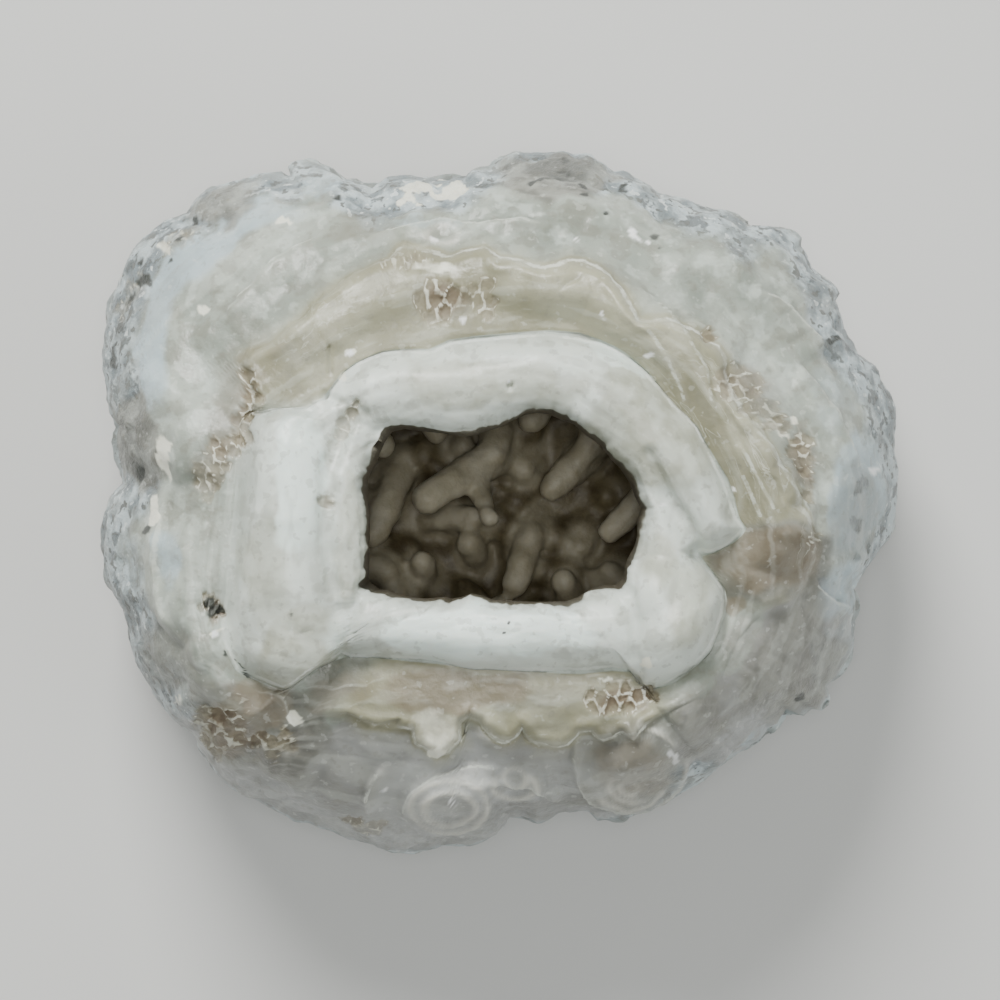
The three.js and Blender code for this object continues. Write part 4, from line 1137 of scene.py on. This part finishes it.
def nodule_material():
    """Milky stone, from the broad tones up to thin lines, pits, crumbs and holes."""
    n = Nodes("milky_chalcedony")
    mottle = n.noise(7.0, 2.0, 0.5)
    cloud = n.noise(2.4, 3.0, 0.5)
    grain = n.noise(0.6, 3.0, 0.6)
    chips = n.noise(1.0, 2.0, 0.5)
    patchy = n.noise(2.0, 3.0, 0.6)
    streak = n.mask("streak")
    pitted = n.mask("pits")

    def wobble(share, noise):
        return n.part(share, n.math("SUBTRACT", noise, 0.5))

    def both(a, b):
        return n.math("MULTIPLY", a, b)

    def mask(name, spread=0.5):
        """A mask whose edge wanders with the mottling."""
        return n.ramp(n.math("ADD", n.mask(name), wobble(spread, cloud)), 0.2, 0.8)

    def line(name, place, half, ragged=3.0):
        """A thin line where a distance has one value."""
        moved = n.math("ADD", n.mask(name), wobble(ragged, grain))
        thin = n.ramp(n.math("ABSOLUTE", n.math("SUBTRACT", moved, place)), half, half * 0.3)
        return both(thin, n.ramp(patchy, 0.42, 0.54, 0.25, 1.0))

    glassy = n.shade(mottle, 0.38, 0.62, (146, 146, 143), (170, 171, 169))
    beige = n.shade(mottle, 0.38, 0.62, (142, 139, 113), (168, 166, 142))
    smoke = n.shade(cloud, 0.4, 0.6, (106, 105, 97), (140, 140, 131))
    warm = n.shade(cloud, 0.4, 0.6, (170, 172, 155), (190, 194, 181))
    rim = n.layers(n.shade(cloud, 0.4, 0.6, (126, 137, 141), (188, 200, 203)), [
        (0.8, n.ramp(patchy, 0.55, 0.6), (92, 99, 101)),
        (0.85, n.ramp(chips, 0.6, 0.64), (82, 89, 91)),
        (0.7, n.ramp(chips, 0.36, 0.32), (222, 229, 230)),
    ])
    white = n.layers(n.shade(mottle, 0.36, 0.62, (202, 209, 201), (218, 225, 217)), [
        (0.6, n.ramp(cloud, 0.47, 0.36), (178, 182, 172)),
        (0.85, mask("warm"), warm),
        # painted sheen: the gleaming bands of the rolls, near white
        (0.85, mask("painted_sheen"), (230, 243, 237)),
    ])
    pit_floor = n.layers(n.shade(chips, 0.42, 0.58, (122, 112, 90), (152, 144, 120)), [
        (0.75, mask("stain_and_shade"), (112, 95, 76)),
    ])
    rib = n.math("ADD", n.mask("rib"), wobble(0.24, grain))
    pit_wall = both(n.ramp(pitted, 0.1, 0.6), n.ramp(rib, 0.2, 0.1))
    tone = n.layers(n.shade(mottle, 0.36, 0.62, (146, 153, 143), (173, 180, 170)), [
        (0.6, n.ramp(cloud, 0.54, 0.66), (196, 204, 196)),
        (0.55, n.ramp(cloud, 0.47, 0.37), (132, 133, 121)),
        (1.0, mask("rim"), rim),
        (0.9, mask("lower"), glassy),
        (0.65, mask("blue"), (180, 200, 210)),
        (0.9, mask("recess"), beige),
        # painted shade along the collar's foot
        (0.3, n.mask("foot"), (136, 128, 107)),
        # smoky stone, with painted shade under the collar's lower edge
        (0.85, mask("smoke_and_shade"), smoke),
        # brown stains, with painted shade under the collar's lower edge
        (0.6, mask("stain_and_shade"), (124, 110, 88)),
        (1.0, n.mask("collar"), white),
        (0.17, n.ramp(streak, 0.1, 0.75), (222, 226, 217)),
        (0.17, n.ramp(streak, -0.1, -0.75), (128, 125, 110)),
        (0.25, n.ramp(chips, 0.6, 0.66), (132, 130, 118)),
        (0.2, n.ramp(chips, 0.36, 0.3), (228, 231, 224)),
        (0.75, n.mask("ring"), (206, 205, 194)),
        (0.12, n.mask("edge"), (208, 211, 200)),
        (0.45, both(line("streak", 0.14, 0.08, 0.1), n.mask("layered")), (212, 214, 201)),
        # painted highlights, partly the stone's own pale edges: thin bright lines on the terrace crest, the
        # ledge edges and the collar's lower edge
        (0.85, both(line("shelf", 2.0, 1.7, 3.5), n.mask("crest")), (226, 229, 217)),
        (0.5, line("fold", 0.8, 1.2), (214, 219, 209)),
        (0.7, both(line("sheet", 2.5, 1.8), n.mask("hem")), (232, 236, 229)),
        (0.95, mask("cream", 1.0), (240, 240, 224)),
        (0.95, pitted, pit_floor),
        (1.0, both(pit_wall, n.ramp(patchy, 0.4, 0.56, 0.25, 0.8)), (218, 218, 202)),
        # dark specks, and painted shade in the holes and cracks
        (0.95, mask("dark", 0.9), (56, 59, 55)),
        # painted glints, near white
        (1.0, n.mask("painted_glint"), (250, 251, 250)),
        # painted shade: the cavity wall below the lip is painted dark brown for the shade inside the cavity
        (1.0, n.mask("inner"), (96, 86, 70)),
    ])

    rough = n.math("ADD", n.math("ADD", n.part(0.3, cloud), 0.24), n.part(0.3, pitted))
    skin = n.math("ADD", 0.25, n.part(0.75, n.mask("rim")))
    quiet = both(skin, n.math("SUBTRACT", 1.0, n.part(0.7, n.mask("collar"))))
    height = both(n.math("ADD", n.part(0.5, grain), n.part(0.5, chips)), quiet)
    return n.finish(tone, rough, MILKY, height, bump_mm=0.6, strength=0.8)


def crust_material():
    """Crust stone painted dark brown for the shade in the cavity, with painted light making the fingers
    paler than the lining between them.
    """
    n = Nodes("dusky_chalcedony")
    cloud = n.noise(3.0, 4.0, 0.6)
    # painted shade for the lining and painted light for the fingers
    dark = n.shade(cloud, 0.35, 0.65, (84, 74, 52), (112, 103, 78))
    light = n.shade(cloud, 0.35, 0.65, (172, 165, 142), (192, 186, 166))
    tone = n.mix(n.mask("finger"), dark, light)
    rough = n.math("ADD", n.part(0.2, cloud), 0.4)
    return n.finish(tone, rough, CRUST_SCATTER, n.noise(0.6, 3.0, 0.6), bump_mm=0.2, strength=0.5)


def crust_rings(angle, inset, relief):
    """Rings of the crust from its rim down to the floor, inset from the cavity wall."""
    wall = CAVITY_WALL[2:]
    lip = smooth_radius(OPENING_OUTLINE, angle, WALL_SPREAD)
    outer = smooth_radius(OUTER_OUTLINE, angle, WALL_SPREAD)
    rings = []
    for z, share in steps_along(wall, CRUST_WALL_ROWS):
        ring = ring_at(angle, lerp(lip, outer, share) * plan_unit(z) - inset, z)
        push_out(ring, angle, -relief * (1 + bumps(ring, CRUST_LUMP, 23)))
        rings.append(ring)
    foot = rings[-1]
    floor = [(wall[-1][0], 1.0), *CAVITY_FLOOR, (FLOOR_Z, 0.0)]
    for z, share in steps_along(floor, CRUST_FLOOR_ROWS)[1:-1]:
        ring = drawn_in(foot, share, z + inset)
        ring[:, 2] += relief * (1 + bumps(ring, CRUST_LUMP, 23))
        rings.append(ring)
    return rings


def finger_balls(rng):
    """Overlapping balls along each finger, slightly uneven: middle and radius of each."""
    balls = []
    for finger in FINGERS:
        rows = [(*from_plan(x, y, z), radius) for x, y, z, radius in finger]
        length = np.linalg.norm(np.diff(np.array(rows)[:, :3], axis=0), axis=1).sum()
        for t in np.linspace(0, len(rows) - 1, max(4, int(length / BALL_STEP))):
            *point, radius = between(rows, t)
            radius *= rng.uniform(*BALL_UNEVEN)
            balls.append((np.array(point) + rng.uniform(-0.12, 0.12, 3), radius))
    return balls


def knob_balls(rng):
    """Small knobs scattered over the inside of the lining."""
    lining = np.array(crust_rings(circle(KNOB_ANGLES), CRUST_GAP + CRUST_THICKNESS, CRUST_RELIEF))
    balls = []
    for _ in range(KNOBS):
        row, column = rng.integers(3, len(lining)), rng.integers(KNOB_ANGLES)
        balls.append((lining[row, column] + rng.uniform(-0.6, 0.6, 3), rng.uniform(*KNOB_RADII)))
    return balls


def ball_cloud(balls):
    """One object that holds all the balls."""
    unit = bmesh.new()
    bmesh.ops.create_icosphere(unit, subdivisions=3, radius=1.0)
    unit_points = np.array([v.co[:] for v in unit.verts])
    unit_faces = np.array([[v.index for v in f.verts] for f in unit.faces])
    unit.free()
    points = np.concatenate([centre + unit_points * radius for centre, radius in balls]) * MM
    faces = np.concatenate([unit_faces + i * len(unit_points) for i in range(len(balls))])
    mesh = bpy.data.meshes.new("balls")
    mesh.from_pydata(points.tolist(), [], faces.tolist())
    return add_object("balls", mesh)


def fused_mesh(bowl, balls):
    """The bowl and the balls under one skin."""
    for piece in bpy.context.selected_objects:
        piece.select_set(False)
    bowl.select_set(True)
    balls.select_set(True)
    bpy.context.view_layer.objects.active = bowl
    bpy.ops.object.join()
    remesh = bowl.modifiers.new("fuse", "REMESH")
    remesh.mode = "VOXEL"
    remesh.voxel_size = CRUST_VOXEL * MM
    relax = bowl.modifiers.new("relax", "SMOOTH")
    relax.iterations = 3
    graph = bpy.context.evaluated_depsgraph_get()
    mesh = bpy.data.meshes.new_from_object(bowl.evaluated_get(graph))
    bpy.data.objects.remove(bowl)
    mesh.name = "finger_crust_mesh"
    return mesh


def vectors(mesh, key):
    """The places or the normals of a mesh's points, one row each."""
    values = np.empty(len(mesh.vertices) * 3)
    mesh.vertices.foreach_get(key, values)
    return values.reshape(-1, 3)


def finger_distance(points):
    """Distance to the middle line of the nearest finger, in millimetres."""
    near = np.full(len(points), np.inf)
    for finger in FINGERS:
        path = [from_plan(x, y, z) for x, y, z, _ in finger]
        for a, b in zip(path, path[1:]):
            edge = b - a
            t = clamp01((points - a) @ edge / (edge @ edge))
            near = np.minimum(near, np.linalg.norm(points - a - t[:, None] * edge, axis=1))
    return near


def make_crust():
    """The lining and its fingers, fused into one piece."""
    angle = circle(CRUST_ANGLES)
    outside = crust_rings(angle, CRUST_GAP, 0.0)[::-1]
    inside = crust_rings(angle, CRUST_GAP + CRUST_THICKNESS, CRUST_RELIEF)
    under = FLOOR_Z + CRUST_GAP
    bowl = closed_mesh("crust_bowl", under, np.array(outside + inside), under + CRUST_THICKNESS, {})
    rng = np.random.default_rng(12)
    mesh = fused_mesh(bowl, ball_cloud(finger_balls(rng) + knob_balls(rng)))

    points = vectors(mesh, "co") / MM
    points = points + vectors(mesh, "normal") * (0.12 * fractal(points, 1.6, 91, 3))[:, None]
    mesh.vertices.foreach_set("co", (points * MM).ravel())
    # painted light and shade: the fingers are paler than the lining, and darker lower down in the cavity
    height = smooth(9, 17, points[:, 2])
    set_mask(mesh, "finger", (1 - smooth(1.6, 3.0, finger_distance(points))) * (0.25 + 0.75 * height))
    mesh.polygons.foreach_set("use_smooth", [True] * len(mesh.polygons))
    mesh.update()
    return add_object("finger_crust_lining", mesh)


def area_light(name, place, turn, size, power, tint):
    light = bpy.data.lights.new(name, "AREA")
    light.shape = "DISK"
    light.size = size
    light.energy = power
    light.color = tint
    lamp = add_object(name, light)
    lamp.location = place
    lamp.rotation_euler = [math.radians(t) for t in turn]


def make_floor():
    bpy.ops.mesh.primitive_plane_add(size=4.0, location=(0, 0, 0))
    floor = bpy.context.object
    floor.name = "studio_floor"
    n = Nodes("pale_floor")
    tone = n.mix(n.noise(40.0), colour(205, 205, 203), colour(209, 209, 207))
    floor.data.materials.append(n.finish(tone, 0.9, {}))


def make_eye():
    """The camera at the photograph's eye, with the plan as its frame."""
    camera = bpy.data.cameras.new("eye")
    camera.sensor_width = 36.0
    camera.lens = EYE_TO_PLAN / PLAN_SIZE * camera.sensor_width
    camera.shift_x = (PLAN_SIZE / 2 - PLAN_ORIGIN[0]) / PLAN_SIZE
    camera.shift_y = (PLAN_ORIGIN[1] - PLAN_SIZE / 2) / PLAN_SIZE
    camera.clip_start = 0.01
    eye = add_object("eye", camera)
    eye.location = (0, 0, EYE_Z * MM)
    bpy.context.scene.camera = eye


def make_studio():
    """A plain pale floor, soft light from above and the camera."""
    make_floor()
    world = bpy.data.worlds.new("pale_studio")
    world.use_nodes = True
    background = world.node_tree.nodes["Background"]
    background.inputs["Color"].default_value = (0.95, 0.98, 0.97, 1)
    background.inputs["Strength"].default_value = 0.35
    bpy.context.scene.world = world
    for light in LIGHTS:
        area_light(*light)
    make_eye()


nodule = make_nodule()
nodule.data.materials.append(nodule_material())
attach(nodule, "root")
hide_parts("nodule")

crust = make_crust()
crust.data.materials.append(crust_material())
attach(crust, "root")
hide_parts("finger_crust")

make_studio()
